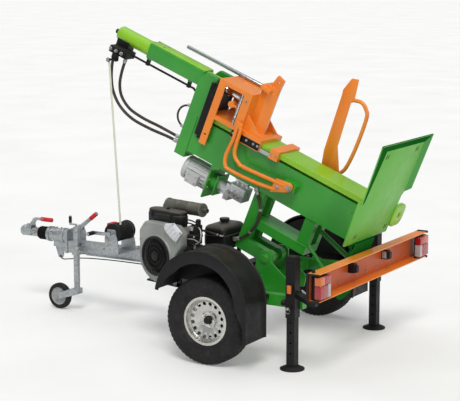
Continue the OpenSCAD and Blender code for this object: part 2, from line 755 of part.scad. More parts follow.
module leg_sleeve_far() {
  h = sleeve_s / 2;
  color(black) placed() {
    sleeve_body(1);
    bx([leg_x + h - 1, leg_y - 20, bar_z + 40], [bar_x - slip, leg_y + 20, bar_z + 90]);
  }
}
module leg_body() {
  h = leg_in / 2;
  difference() {
    union() {
      bx([-h, -h, 14], [h, h, sleeve_z + sleeve_l - 60]);
      cylinder(r = foot_r, h = 8);
      translate([0, 0, 8]) cylinder(r1 = foot_r, r2 = foot_r * 0.62, h = 14);
    }
    for (i = [0 : 3]) rod_y(0, 110 + i * 70, 8, -h - 1, h + 1);
  }
}
module leg_near() {
  color(black) placed() translate([leg_x, -leg_y, 0]) leg_body();
}
module leg_far() {
  color(black) placed() translate([leg_x, leg_y, 0]) leg_body();
}
module side_markers() {
  h = sleeve_s / 2;
  color(orange) placed() for (s = [-1, 1]) translate([leg_x, s * (leg_y + h), sleeve_z + 195]) {
    bx([-20, s > 0 ? 0 : -9, -32], [20, s > 0 ? 9 : 0, 32]);
    bx([-15, s > 0 ? 9 : -22, -27], [15, s > 0 ? 22 : -9, 27]);
  }
}

// light bar
bar_t = 6;
module light_bar() {
  y = bar_l / 2;
  color(orange) placed() difference() {
    union() {
      bx([bar_x, -y, bar_z], [bar_x + bar_t, y, bar_z + bar_h]);
      bx([bar_x, -y, bar_z], [bar_x + bar_d, y, bar_z + bar_t]);
      bx([bar_x, -y, bar_z + bar_h - bar_t], [bar_x + bar_d, y, bar_z + bar_h]);
    }
    rod_z(hinge_x, hinge_y, hinge_r + run, bar_z - 10, bar_z + bar_h + 10);
  }
}
lamp_w = 138;
lamp_d = 36;
module tail_lamps() {
  x1 = bar_x + bar_d - 2;
  z0 = bar_z + bar_t + 12;
  z1 = bar_z + bar_h - bar_t - 12;
  y1 = bar_l / 2 - 8;
  color([0.75, 0.05, 0.03]) placed() for (s = [-1, 1]) {
    bx([x1 - lamp_d, s > 0 ? y1 - lamp_w : -y1, z0], [x1, s > 0 ? y1 : -y1 + lamp_w, z1]);
    bx([x1, s > 0 ? y1 - lamp_w + 6 : -y1 + 6, z0 + 6], [x1 + 18, s > 0 ? y1 - 6 : -y1 + lamp_w - 6, z1 - 6]);
    // brackets to the flanges
    bx([x1 - lamp_d, s * (y1 - lamp_w + 20) - 10, bar_z + bar_t], [x1 - lamp_d + 6, s * (y1 - lamp_w + 20)
      + 10, z0]);
  }
}
module plate_lamps() {
  x0 = bar_x + bar_t;
  color(black) placed() for (y = [-260, 260]) {
    bx([x0, y - 26, bar_z + bar_h * 0.45], [x0 + 46, y + 26, bar_z + bar_h * 0.45 + 62]);
    bx([x0 + 46, y - 20, bar_z + bar_h * 0.45 + 4], [x0 + 62, y + 20, bar_z + bar_h * 0.45 + 50]);
  }
}

// column, in column coordinates: X along the column towards the base plate, Z out of its working face
lug_s = 5;
lug_n = col_n + 157;
lug_r = 12;
lug_y = col_w / 2 + 55;
far_s = 95;
far_n = col_top - 14;
arm_y = lug_y + 1.5 + arm_r;
module column_box() {
  h = col_w / 2;
  color(green) col() difference() {
    union() {
      bx([-col_up, -h, col_n], [plate_s, h, col_top]);
      // lug of the control arm
      slab([[lug_s - 70, lug_n - 30], [lug_s + 36, lug_n - 30], [lug_s + 36, lug_n + 20], [lug_s + 10,
        lug_n + 34],
        [lug_s - 70, lug_n + 24]], -lug_y, -h + 1);
      // lug of the holding arm
      slab([[far_s - 60, far_n - 50], [far_s + 60, far_n - 50], [far_s + 36, far_n + 12], [far_s - 36,
        far_n + 12]],
        h - 1, lug_y);
    }
    rod_y(lug_s, lug_n, lug_r + run, -lug_y - 1, -h + 12);
    rod_y(far_s, far_n - 16, lug_r + run, h - 12, lug_y + 1);
    // dimples in the side faces
    for (s = [-370, -110, 475]) for (y = [-h - 1, h - 3]) rod_y(s, col_n + 190, 11, y, y + 4);
  }
}
module guide_rail() {
  color(lime) col() {
    bx([-col_up + 100, -flange_w / 2 + 48, col_top], [plate_s, flange_w / 2 - 48, flange_n]);
    bx([-col_up + 100, -flange_w / 2, flange_n], [plate_s, flange_w / 2, rail_n]);
  }
}
// outline of the base plate in Y and Z
step_n = plate_n0 + 285;
function plate_outline(e) = [[-plate_left * 0.79 + e, plate_n0 + e], [plate_right * 0.82 - e, plate_n0 + e],
  [plate_right * 0.85 - e, step_n - e * 0.3], [plate_right + 8 - e, step_n + 55 + e * 0.3],
    [plate_right - e, plate_n1 - e],
  [-plate_left + e, plate_n1 - e]];
module plate_slab(e, s0, s1) {
  translate([s0, 0, 0]) rotate([90, 0, 90]) linear_extrude(height = s1 - s0) polygon(plate_outline(e));
}
foot_n = 20;
foot_w = 300;
rim_t = 10;
base_t = 15;
tow_y = plate_right * 0.82 + 62;
tow_n = plate_n0 + 116;
tow_r = 15;
module base_plate() {
  h = col_w / 2;
  color(green) col() {
    difference() {
      union() {
        difference() {
          plate_slab(0, plate_s, plate_drop);
          plate_slab(rim_t, plate_s + base_t, plate_drop + 1);
        }
        // lifter lug beside the plate
        bx([plate_drop - 40, plate_right * 0.82 - 12, tow_n - 60], [plate_drop - 10, tow_y + 34, tow_n + 60]);
        // rear foot behind the column
        bx([plate_drop - 18, -foot_w / 2, foot_n + 60], [plate_drop, foot_w / 2, plate_n0 + 2]);
        translate([plate_drop - 18, 0, foot_n + 100]) rotate([0, 90, 0]) cylinder(r = foot_w / 2, h = 18);
        bx([plate_s, -foot_w / 2, plate_n0 - 40], [plate_drop, foot_w / 2, plate_n0 + 4]);
        for (y = [-foot_w / 2 + 24, foot_w / 2 - 24]) slab([[plate_s + 4, plate_n0], [plate_drop - 8,
          plate_n0],
          [plate_drop - 8, foot_n + 70], [plate_drop - 30, foot_n + 70]], y - 5, y + 5);
      }
      translate([plate_drop - 100, tow_y, tow_n]) rotate([0, 90, 0]) cylinder(r = tow_r, h = 120);
      // slots in the plate
      for (p = [[-250, 640], [330, 640], [-210, 60], [300, 60]])
        bx([plate_s - 1, p[0] - 30, plate_n0 + p[1] - 7], [plate_s + base_t + 1, p[0] + 30,
          plate_n0 + p[1] + 7]);
    }
  }
}
post_w = 60;
boss_r = pin_r + 24;
module sub_frame() {
  h = sub_w / 2;
  front = -220;
  rear = 205;
  beam_n = col_n - 262;
  brace_y = h - post_w / 2;
  color(green) col() difference() {
    union() {
      for (y = [-h, h - post_w]) {
        bx([front - 42, y, -44], [front + 38, y + post_w, col_n]);
        bx([rear - 42, y, beam_n], [rear + 42, y + post_w, col_n]);
      }
      bx([front + 30, -h, beam_n], [rear + 42, h, beam_n + 66]);
      // foot arms to the tilt pin
      for (y = [-h, h - post_w]) {
        bx([front, y, -44], [boss_r * 0.6, y + post_w, 44]);
        rod_y(0, 0, boss_r, y, y + post_w);
      }
      bx([front - 42, -h, -44], [front + 38, h, 10]);
      // braces from the rear posts to the foot plate
      seg([rear, -brace_y, beam_n + 98], [plate_drop - 12, -brace_y, foot_n + 20], 12);
      seg([rear, brace_y, beam_n + 165], [plate_drop - 12, brace_y, foot_n + 196], 17);
    }
    rod_y(0, 0, pin_r + run, -h - 1, h + 1);
    // the braces end on the foot plate
    bx([plate_drop - 18 - fit / 10, -h, foot_n - 20], [plate_drop + 40, h, foot_n + 260]);
  }
}

// head and cylinder
cyl_n = rail_n + 191;
head_l = 90;
head_s1 = -col_up + 53;
hp_t = 35;
hp_s = head_s1 + fit;
house_l = 500;
house_w = 130;
house_t = 6;
barrel_s0 = -col_up - head_l - house_l - 305;
module head_box() {
  h = col_w / 2;
  s0 = -col_up - head_l;
  low = cyl_n - barrel_r - 12;
  color(green) col() difference() {
    union() {
      bx([s0, -h, col_n - 59], [-col_up, h, low]);
      bx([-col_up - 1, -h, col_top + fit], [head_s1, h, low]);
      // cheeks beside the barrel
      for (s = [-1, 1]) slab([[s0, low - 1], [head_s1, low - 1], [head_s1, cyl_n + 74], [s0 + 40,
        cyl_n + 74], [s0, cyl_n + 20]],
        s > 0 ? house_w / 2 + 4 : -h, s > 0 ? h : -house_w / 2 - 4);
      // saddle under the barrel
      slab([[s0 + 20, low - 1], [head_s1 - 10, low - 1], [head_s1 - 10, cyl_n], [s0 + 20, cyl_n]],
        -house_w / 2 - 5, house_w / 2 + 5);
    }
    rod_x(0, cyl_n, barrel_r + fit, s0 - 1, head_s1 + 1);
  }
}
module head_plate() {
  h = col_w / 2;
  w = h + 22;
  color(black) col() difference() {
    bx([hp_s, -w, col_n + 130], [hp_s + hp_t, w, cyl_n + 40]);
    bx([hp_s - 1, -h - fit, col_n + 100], [hp_s + hp_t + 1, h + fit, col_top + fit]);
    rod_x(0, cyl_n, rod_r + 6, hp_s - 1, hp_s + hp_t + 1);
  }
}
module cylinder_housing() {
  s1 = -col_up - head_l - fit;
  s0 = s1 - house_l;
  h = house_w / 2;
  n0 = cyl_n - barrel_r - 12;
  n1 = cyl_n + barrel_r + 30;
  color(green) col() difference() {
    union() {
      bx([s0, -h, n0], [s1, h, n1]);
      bx([s0, -h - 4, n1 - 6], [s1, h + 4, n1]);
    }
    bx([s0 + 12, -h + house_t, n0 + house_t], [s1 + 1, h - house_t, n1 - house_t]);
    rod_x(0, cyl_n, barrel_r + fit, s0 - 1, s1 + 1);
  }
}
rod_tail = -585 - fit - plate_t - wedge_travel - 320;
bore_r = 45;
gland_l = 30;
module cylinder_barrel() {
  s1 = head_s1;
  color(lime) col() difference() {
    union() {
      rod_x(0, cyl_n, barrel_r, barrel_s0 + 16, s1);
      rod_x(0, cyl_n, barrel_r - 7, barrel_s0, s1);
      translate([barrel_s0 + 16, 0, cyl_n]) rotate([0, 90, 0]) rotate_extrude() translate([barrel_r - 16,
        0]) circle(r = 16);
    }
    rod_x(0, cyl_n, bore_r, barrel_s0 + 28, s1 - gland_l);
    rod_x(0, cyl_n, rod_r + run, s1 - gland_l - 1, s1 + 1);
  }
}
// steel pipe, ports and rope eye at the cylinder
eye_y = -225;
eye_s = barrel_s0 + 118;
eye_n = cyl_n - 148;
pipe_r = 8;
module cylinder_lines() {
  n_low = cyl_n - barrel_r - 12;
  color(black) col() difference() {
    union() {
      // port block under the cap end
      bx([barrel_s0 + 20, -50, cyl_n - barrel_r - 40], [barrel_s0 + 130, 30, cyl_n]);
      bx([barrel_s0 + 30, -132, cyl_n - barrel_r - 66], [barrel_s0 + 190, -20, cyl_n - barrel_r - 18]);
      // arm that holds the rope
      slab([[eye_s - 40, cyl_n - barrel_r - 60], [eye_s + 10, cyl_n - barrel_r - 60], [eye_s + 20, eye_n - 8],
        [eye_s + 10, eye_n - 18], [eye_s - 20, eye_n - 18], [eye_s - 40, eye_n]], -150, -132);
      rod_y(eye_s, eye_n, 9, eye_y - 14, -140);
      rod_y(eye_s, eye_n, 16, eye_y - 18, eye_y - 12);
      // return pipe under the housing
      tube([[barrel_s0 + 100, -30, n_low - 34], [-col_up - head_l - 60, -30, n_low - 34],
        [-col_up - head_l - pipe_r - 1, -30, n_low - 60]], pipe_r);
      for (s = [barrel_s0 + 320, barrel_s0 + 700]) bx([s - 12, -42, n_low - 46], [s + 12, -18, n_low - fit]);
    }
    rod_x(0, cyl_n, barrel_r + fit, barrel_s0 - 1, -col_up);
  }
}

// motor and pump under the column
mot_n = col_n - 146;
mot_r = 92;
mot_s1 = -650;
mot_l = 232;
module electric_motor() {
  ribs = 20;
  color(silver) col() difference() {
    union() {
      rod_x(0, mot_n, mot_r - 10, mot_s1 - mot_l, mot_s1);
      for (i = [0 : ribs - 1]) translate([mot_s1 - mot_l + 40, 0, mot_n]) rotate([i * 360 / ribs, 0, 0])
        bx([0, -2.5, mot_r - 14], [mot_l - 62, 2.5, mot_r]);
      rod_x(0, mot_n, mot_r - 3, mot_s1 - mot_l, mot_s1 - mot_l + 34);
      rod_x(0, mot_n, mot_r, mot_s1 - 22, mot_s1);
      // terminal box on the near side
      bx([mot_s1 - mot_l + 70, -mot_r - 34, mot_n - 62], [mot_s1 - mot_l + 170, -mot_r + 16, mot_n + 18]);
    }
  }
}
bell_t = 70;
module bell_housing() {
  s0 = mot_s1;
  color(green) col() difference() {
    union() {
      bx([s0, -112, mot_n - 112], [s0 + 14, 112, col_n]);
      rod_x(0, mot_n, 70, s0, s0 + bell_t);
      bx([s0 + bell_t - 12, -76, mot_n - 76], [s0 + bell_t, 76, mot_n + 76]);
      slab([[s0, col_n - 40], [s0 + 70, col_n - 10], [s0 + 70, col_n], [s0, col_n]], -112, -100);
      slab([[s0, col_n - 40], [s0 + 70, col_n - 10], [s0 + 70, col_n], [s0, col_n]], 100, 112);
    }
  }
}
module hydraulic_pump() {
  s0 = mot_s1 + bell_t;
  color(silver) col() {
    rod_x(0, mot_n, 52, s0, s0 + 70);
    bx([s0 + 70, -60, mot_n - 60], [s0 + 110, 60, mot_n + 60]);
    bx([s0 + 110, -72, mot_n - 20], [s0 + 230, 40, mot_n + 80]);
    for (i = [0 : 2]) rod_y(s0 + 130 + i * 40, mot_n + 30, 14, -110, -60);
    for (i = [0 : 2]) rod_z(s0 + 130 + i * 40, -20, 15, mot_n + 70, mot_n + 118);
    bx([s0 + 118, -60, mot_n + 118], [s0 + 222, 20, col_n]);
  }
}

// wedge carriage
car_s0 = hp_s + hp_t + 5;
post_l = 55;
back_s = -535;
block_s1 = -330;
side_y = flange_w / 2 + 20;
block_t = 26;
shoe_s = -240;
lip = 2;
module carriage_side(y0) {
  top = cyl_n + 99;
  y1 = y0 + plate_t;
  bx([car_s0, y0, col_n + 114], [car_s0 + post_l, y1, top]);
  bx([back_s - 40, y0, rail_n - 20], [back_s + 24, y1, top]);
  bx([car_s0, y0, top - 30], [back_s + 24, y1, top]);
}
module carriage_frame() {
  top = cyl_n + 99;
  color(orange) col() difference() {
    union() {
      carriage_side(side_y);
      carriage_side(-side_y - plate_t);
      bx([car_s0, -side_y - plate_t, top - 12], [back_s + 24, side_y + plate_t, top]);
      // back plate behind the wedge
      bx([back_s, -side_y, rail_n + slip + 1], [back_s + 24, side_y, top]);
      // slide block that grips the guide rail
      bx([car_s0, -side_y - plate_t, rail_n + slip], [block_s1, side_y + plate_t, rail_n + slip + block_t]);
      for (s = [-1, 1]) {
        y0 = s > 0 ? flange_w / 2 + slip : -side_y - plate_t;
        y1 = s > 0 ? side_y + plate_t : -flange_w / 2 - slip;
        bx([back_s - 40, y0, col_top + lip], [block_s1, y1, rail_n + slip + 1]);
        bx([back_s - 40, s > 0 ? flange_w / 2 - 38 : -side_y, col_top + lip], [block_s1,
          s > 0 ? side_y : -flange_w / 2 + 38, flange_n - slip]);
        // lower guide shoe
        bx([shoe_s, y0, col_top + lip], [shoe_s + 70, y1, rail_n + slip + 1]);
        bx([shoe_s, s > 0 ? flange_w / 2 - 38 : -side_y, col_top + lip], [shoe_s + 70,
          s > 0 ? side_y : -flange_w / 2 + 38, flange_n - slip]);
        // ribs beside the wedge
        slab([[back_s + 20, rail_n + block_t], [block_s1 - 20, rail_n + block_t], [back_s + 20,
          rail_n + block_t + 120]],
          s * (side_y - 20) - 6, s * (side_y - 20) + 6);
      }
      bx([shoe_s, -side_y - plate_t, rail_n + slip], [shoe_s + 70, side_y + plate_t, rail_n + slip + 14]);
      // roller boss behind the near plate
      rod_y(back_s - 120, cyl_n - 40, 24, -side_y, -side_y + 40);
      bx([back_s - 120, -side_y, cyl_n - 48], [back_s + 10, -side_y + 20, cyl_n - 32]);
    }
    for (y = [-side_y - plate_t, side_y]) rod_y(car_s0 + 28, col_n + 190, 9, y - 1, y + plate_t + 1);
  }
}
module wedge() {
  s0 = back_s + 24;
  n0 = rail_n + slip + block_t;
  h = wedge_t / 2;
  tip = s0 + wedge_l;
  color(orange) col() difference() {
    union() {
      translate([0, 0, n0]) linear_extrude(height = wedge_h) polygon([[s0, -h], [s0 + 50, -h], [tip - 3, -3],
        [tip, 0], [tip - 3, 3], [s0 + 50, h], [s0, h]]);
      // cross wing at the outer end
      slab([[tip - 90, n0 + wedge_h - 30], [tip - 6, n0 + wedge_h - 44], [tip + 4, n0 + wedge_h + 66],
        [tip - 52, n0 + wedge_h + 84]], -13, 13);
      slab([[s0, n0 + wedge_h - 30], [tip - 40, n0 + wedge_h - 44], [tip - 40, n0 + wedge_h - 24], [s0,
        n0 + wedge_h]], -h - 40, h + 40);
    }
    rod_y(tip - 34, n0 + wedge_h + 36, 9, -40, 40);
  }
}
module piston_rod() {
  color(silver) col() {
    rod_x(0, cyl_n, rod_r, rod_tail, back_s - fit);
    rod_x(0, cyl_n, bore_r - slip, rod_tail, rod_tail + 50);
  }
}
module trip_rods() {
  y1 = side_y;
  color(zinc) col() {
    // bars in the groove that carry the lower shoe
    for (s = [-1, 1]) bx([block_s1, s > 0 ? flange_w / 2 + slip + 1 : -y1, flange_n - 16], [shoe_s,
      s > 0 ? y1 : -flange_w / 2 - slip - 1, flange_n + 12]);
    // stroke rod beside the head
    rod_x(96, cyl_n + 99 + 15, 14, car_s0 - 470, back_s - 20);
    bx([car_s0 + 20, 82, cyl_n + 99], [car_s0 + 60, 110, cyl_n + 99 + 12]);
    // chrome lock rod in the near window
    translate([back_s - 56, -side_y + 50, rail_n + block_t + 1]) cylinder(r = 9,
      h = cyl_n + 86 - rail_n - block_t);
  }
}

// control and holding arms
module control_arm() {
  y = -arm_y;
  k = lug_s - 5;
  m = lug_n - 571;
  color(orange) col() {
    cord(route([[k - 528, y, m + 795], [k - 524, y, m + 680], [k - 534, y, m + 560], [k - 515, y, m + 490],
      [k - 464, y, m + 470],
      [k - 250, y, m + 482], [k - 90, y, m + 508]], 2), arm_r);
    cord(route([[k - 494, y, m + 783], [k - 488, y, m + 660], [k - 474, y, m + 590], [k - 427, y, m + 552],
      [k - 360, y, m + 540],
      [k - 40, y, m + 566]], 2), arm_r);
    slab([[k - 546, m + 778], [k - 488, m + 770], [k - 492, m + 812], [k - 540, m + 818]], y - arm_r + 3,
      y + arm_r - 3);
    slab([[k - 120, m + 478], [k + 6, m + 536], [k + 30, m + 571], [k + 6, m + 604], [k - 110, m + 586]],
      y - arm_r + 3, y + arm_r - 3);
    rod_y(lug_s, lug_n, lug_r, y, -col_w / 2 - 2);
    rod_y(lug_s, lug_n, 20, y - arm_r - 10, y);
    rod_y(lug_s - 80, lug_n - 34, 12, y - arm_r - 8, y);
  }
}
module holding_arm() {
  y = arm_y;
  k = far_s - 95;
  m = far_n - 16 - 644;
  color(orange) col() {
    slab([[k + 20, m + 690], [k + 60, m + 625], [k + 130, m + 625], [k + 170, m + 700], [k + 80, m + 880],
      [k + 55, m + 1195],
      [k + 68, m + 1250], [k + 47, m + 1375], [k - 4, m + 1360], [k - 36, m + 1262], [k - 30, m + 1226],
        [k - 6, m + 814]],
      y - arm_r, y - arm_r + 10);
    cord(route([[k + 52, y, m + 1222], [k + 122, y, m + 1236], [k + 172, y, m + 1206], [k + 200, y,
      m + 1146], [k + 206, y, m + 920],
      [k + 190, y, m + 760], [k + 150, y, m + 700]], 2), arm_r);
    slab([[k + 20, m + 1205], [k + 60, m + 1205], [k + 60, m + 1240], [k + 20, m + 1240]], y - arm_r + 5,
      y + arm_r);
    rod_y(far_s, far_n - 16, lug_r, col_w / 2 + 2, y - arm_r + 1);
    rod_y(far_s, far_n - 16, 20, y - arm_r + 5, y + 8);
  }
}

// rope and hoses, points in millimetres from the axle on the ground
rope_r = 8;
rope_pts = [[-1193, -225, 1940], [-1152.7, -225, 1342.5], [-1112.4, -225, 745]];
front_pts = [[-1223.3, -110, 1988.7], [-1238.5, -110.5, 1951.7], [-1251, -112, 1890], [-1254, -115, 1805],
  [-1238, -117, 1710], [-1182, -117, 1608], [-1078, -115, 1520], [-930, -110, 1456], [-772.4, -101, 1404.3],
  [-689.1, -96, 1370.1]];
rear_pts = [[-1135.2, -98, 1953.2], [-1148, -97, 1922], [-1178, -95, 1844], [-1196, -93, 1760], [-1180,
  -92, 1672],
  [-1110, -91, 1586], [-990, -90, 1522], [-860, -88, 1474], [-757.4, -87, 1432.7], [-676.9, -86, 1399.7]];
loop_pts = [[-585.5, -70, 1623.8], [-607.4, -70, 1632.7], [-661, -70, 1632], [-704, -70, 1585], [-704, -70,
  1524],
  [-668, -70, 1484.7], [-646.3, -70, 1475.8]];
module rope() {
  color([0.82, 0.80, 0.70]) placed() cord(rope_pts, rope_r);
}
module hose_front() {
  color(hose_c) placed() cord(route(front_pts, 3), 11);
}
module hose_rear() {
  color(hose_c) placed() cord(route(rear_pts, 3), 11);
}
module hose_loop() {
  color(hose_c) placed() cord(route(loop_pts, 3), 7.5);
}

rail_near();
rail_far();
front_beam();
mid_beam();
axle_beam();
drawbar();
overrun_housing();
bellows();
winch_frame();
winch_case();
winch_crank();
mudguard_near();
mudguard_far();
engine_block();
blower_housing();
fan_grille();
cylinder_cover();
air_cleaner();
muffler();
fuel_tank();
leg_sleeve_near();
leg_sleeve_far();
side_markers();
tyre_near();
rim_near();
tyre_far();
rim_far();
jockey_tube();
jockey_fork();
jockey_wheel();
coupling_head();
coupling_lever();
handbrake_lever();
light_bar();
tail_lamps();
plate_lamps();
leg_near();
leg_far();
column_box();
guide_rail();
base_plate();
sub_frame();
head_box();
head_plate();
cylinder_housing();
cylinder_barrel();
cylinder_lines();
electric_motor();
bell_housing();
hydraulic_pump();
hose_front();
hose_rear();
hose_loop();
carriage_frame();
wedge();
piston_rod();
trip_rods();
control_arm();
holding_arm();
rope();
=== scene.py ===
"""Looks of the towable log splitter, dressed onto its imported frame."""
import itertools
import json
import math

import bmesh
import bpy
from mathutils import Matrix, Quaternion, Vector


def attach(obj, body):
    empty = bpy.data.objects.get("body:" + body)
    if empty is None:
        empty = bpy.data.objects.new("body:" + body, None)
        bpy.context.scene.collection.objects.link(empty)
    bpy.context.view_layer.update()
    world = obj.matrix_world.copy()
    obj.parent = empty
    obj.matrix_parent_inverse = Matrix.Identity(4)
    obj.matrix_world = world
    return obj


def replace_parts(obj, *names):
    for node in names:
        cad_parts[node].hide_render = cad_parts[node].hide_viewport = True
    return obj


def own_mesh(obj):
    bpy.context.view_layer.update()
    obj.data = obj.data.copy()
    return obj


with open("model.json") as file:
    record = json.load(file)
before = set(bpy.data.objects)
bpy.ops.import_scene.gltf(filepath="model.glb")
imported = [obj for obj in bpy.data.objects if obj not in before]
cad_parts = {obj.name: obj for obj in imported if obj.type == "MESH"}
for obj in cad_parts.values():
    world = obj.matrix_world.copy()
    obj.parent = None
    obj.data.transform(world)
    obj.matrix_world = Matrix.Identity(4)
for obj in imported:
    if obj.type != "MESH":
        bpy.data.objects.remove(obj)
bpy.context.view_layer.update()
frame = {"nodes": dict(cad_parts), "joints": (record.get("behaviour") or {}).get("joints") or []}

NODE = frame["nodes"]
JOINT = {joint["name"]: joint for joint in frame["joints"]}

# Pieces are drawn in millimetres: in the road frame, which starts on the ground under the axle's middle, in
# the column's frame, with S along it to the base plate, Y across and N out of its face, or in the engine's.
MM = 0.001
X, Y, Z = Vector((1, 0, 0)), Vector((0, 1, 0)), Vector((0, 0, 1))
FRONT = -Y
AXLE = Vector(JOINT["left_wheel_spin"]["pos_m"])
PIVOT = Vector(JOINT["column_tilt"]["pos_m"])
ALONG = Vector(JOINT["wedge_slide"]["axis"]).normalized()
TILT = Matrix((ALONG, Y, ALONG.cross(Y))).transposed().to_4x4()
ROAD = Matrix.Translation((AXLE.x, 0, 0)) @ Matrix.Scale(MM, 4)
COLUMN = Matrix.Translation((PIVOT.x, 0, PIVOT.z)) @ TILT @ Matrix.Scale(MM, 4)


def joint_at(name, place=ROAD):
    """Middle of a joint, in one of the frames."""
    return place.inverted() @ Vector(JOINT[name]["pos_m"])


def turns(count):
    """Angles that share out one full turn."""
    return [2 * math.pi * i / count for i in range(count)]


def spoke(angle, reach=1.0):
    """Upright arm, square to the machine's width, that points at an angle."""
    return Vector((math.cos(angle), 0, math.sin(angle))) * reach


# Shapes

class Shape:
    """A mesh built up from parts, in millimetres of the frame it is placed in."""

    def __init__(self, place=ROAD):
        self.place = place
        self.bm = bmesh.new()

    def take(self, part):
        data = bpy.data.meshes.new("part")
        part.to_mesh(data)
        part.free()
        self.bm.from_mesh(data)
        bpy.data.meshes.remove(data)
        return self

    def soften(self, part, soft, steps):
        if soft:
            edges = [e for e in part.edges if e.calc_face_angle(0) > 0.5]
            bmesh.ops.bevel(part, geom=edges, offset=soft, segments=steps, profile=0.5, affect="EDGES")
        return self.take(part)

    def box(self, lo, hi, soft=2.0, steps=2):
        """Block between two opposite corners, in any order, with rounded edges."""
        size = [abs(b - a) for a, b in zip(lo, hi)]
        middle = [(a + b) / 2 for a, b in zip(lo, hi)]
        part = bmesh.new()
        bmesh.ops.create_cube(part, matrix=Matrix.Translation(middle) @ Matrix.Diagonal((*size, 1)))
        return self.soften(part, soft, steps)

    def plate(self, outline, at, u, v, depth, soft=1.5, steps=2):
        """Plate whose outline lies along u and v, thickened by depth along u x v."""
        at, u, v = Vector(at), Vector(u), Vector(v)
        part = bmesh.new()
        face = part.faces.new([part.verts.new(at + u * a + v * b) for a, b in outline])
        grown = bmesh.ops.extrude_face_region(part, geom=[face])["geom"]
        moved = [g for g in grown if isinstance(g, bmesh.types.BMVert)]
        bmesh.ops.translate(part, verts=moved, vec=u.cross(v) * depth)
        bmesh.ops.recalc_face_normals(part, faces=part.faces[:])
        return self.soften(part, soft, steps)

    def loft(self, rings, closed=False, caps=True):
        """Skin over rings of equally many points; a ring of one point is a tip."""
        part = bmesh.new()
        made = [[part.verts.new(p) for p in ring] for ring in rings]
        pairs = list(zip(made, made[1:] + made[:1])) if closed else list(zip(made, made[1:]))
        for a, b in pairs:
            count = max(len(a), len(b))
            for i in range(count):
                j = (i + 1) % count
                corners = [a[i % len(a)], a[j % len(a)], b[j % len(b)], b[i % len(b)]]
                part.faces.new(list(dict.fromkeys(corners)))
        if caps and not closed:
            for ring in (made[0], made[-1]):
                if len(ring) > 2:
                    part.faces.new(ring)
        bmesh.ops.recalc_face_normals(part, faces=part.faces[:])
        return self.take(part)

    def lathe(self, profile, at, axis, sides=40, closed=False, swell=None):
        """Turned form: profile gives radius and height along the axis; swell(radius, angle) varies it."""
        at, axis = Vector(at), Vector(axis).normalized()
        side = axis.cross(Y if abs(axis.y) < 0.9 else X).normalized()
        rings = []
        for r, h in profile:
            level = at + axis * h
            if r < 1e-6:
                rings.append([level])
                continue
            ring = []
            for angle in turns(sides):
                reach = swell(r, angle) if swell else r
                ring.append(level + Quaternion(axis, angle) @ side * reach)
            rings.append(ring)
        return self.loft(rings, closed)

    def tube(self, points, r, sides=14):
        """Round bar along a line of points; r is one radius or one for each point."""
        points = [Vector(p) for p in points]
        radii = r if isinstance(r, (list, tuple)) else [r] * len(points)
        rings = []
        side = None
        for i, p in enumerate(points):
            way = (points[min(i + 1, len(points) - 1)] - points[max(i - 1, 0)]).normalized()
            side = way.orthogonal() if side is None else side - way * side.dot(way)
            side = side.normalized()
            rings.append([p + Quaternion(way, angle) @ side * radii[i] for angle in turns(sides)])
        return self.loft(rings)

    def rod(self, at, axis, r, length, chamfer=1.5, sides=28):
        """Round bar with chamfered ends."""
        c = min(chamfer, r / 3, length / 3)
        profile = [(0, 0), (r - c, 0), (r, c), (r, length - c), (r - c, length), (0, length)]
        return self.lathe(profile, at, axis, sides)

    def bolt(self, at, axis, across=17):
        """Hexagon head on its washer, with the end of the thread showing."""
        r, top, tip = across / 2, across * 0.62, across * 0.78
        washer = [(0, 0), (r * 1.5, 0), (r * 1.5, 1.6), (r * 1.42, 2.2), (0, 2.2)]
        hexagon = [(0, 2), (r * 1.12, 2), (r * 1.15, 3), (r * 1.15, across * 0.52), (r * 0.98, top), (0, top)]
        thread = [(0, across * 0.6), (r * 0.55, across * 0.6), (r * 0.5, tip), (0, tip)]
        for profile, sides in ((washer, 20), (hexagon, 6), (thread, 12)):
            self.lathe(profile, at, axis, sides)
        return self

    def bolts(self, xs, ys, zs, axis, across):
        """Bolts at every place where three lists of coordinates meet."""
        for at in itertools.product(xs, ys, zs):
            self.bolt(at, axis, across)
        return self

    def weld(self, a, b, r=4.5, pitch=5.0):
        """Rippled bead of weld along a straight seam."""
        a, b = Vector(a), Vector(b)
        count = max(3, int((b - a).length / pitch) * 2)
        points = [a.lerp(b, i / count) for i in range(count + 1)]
        return self.tube(points, [r * (1.0 if i % 2 else 0.8) for i in range(count + 1)], 8)

    def done(self, name, body, material, slot=None, replaces=(), sharp=38):
        """Turns the shape into a piece that rides on a body."""
        bmesh.ops.transform(self.bm, matrix=self.place, verts=self.bm.verts[:])
        for face in self.bm.faces:
            face.smooth = True
        for edge in self.bm.edges:
            edge.smooth = edge.calc_face_angle(0) < math.radians(sharp)
        data = bpy.data.meshes.new(name)
        self.bm.to_mesh(data)
        self.bm.free()
        data.materials.append(material)
        piece = bpy.data.objects.new(name, data)
        bpy.context.scene.collection.objects.link(piece)
        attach(piece, body)
        if replaces:
            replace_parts(piece, *replaces)
        return piece


def smooth(points, steps):
    """Catmull-Rom curve through the points."""
    pts = [Vector(p) for p in points]
    line = []
    for i in range(len(pts) - 1):
        a, b, c, d = pts[max(i - 1, 0)], pts[i], pts[i + 1], pts[min(i + 2, len(pts) - 1)]
        for k in range(steps):
            t = k / steps
            line.append(0.5 * (2 * b + (c - a) * t + (2 * a - 5 * b + 4 * c - d) * t * t
                               + (3 * b - a - 3 * c + d) * t * t * t))
    return line + [pts[-1]]


def arc(r, start, end, count):
    """Points of an arc in two dimensions, from one angle to another in degrees."""
    angles = [math.radians(start + (end - start) * i / count) for i in range(count + 1)]
    return [(r * math.cos(a), r * math.sin(a)) for a in angles]


def mirror(half, width=0.0):
    """Whole profile of a form that is the same from both ends of its width."""
    return half + [(r, width - h) for r, h in reversed(half)]


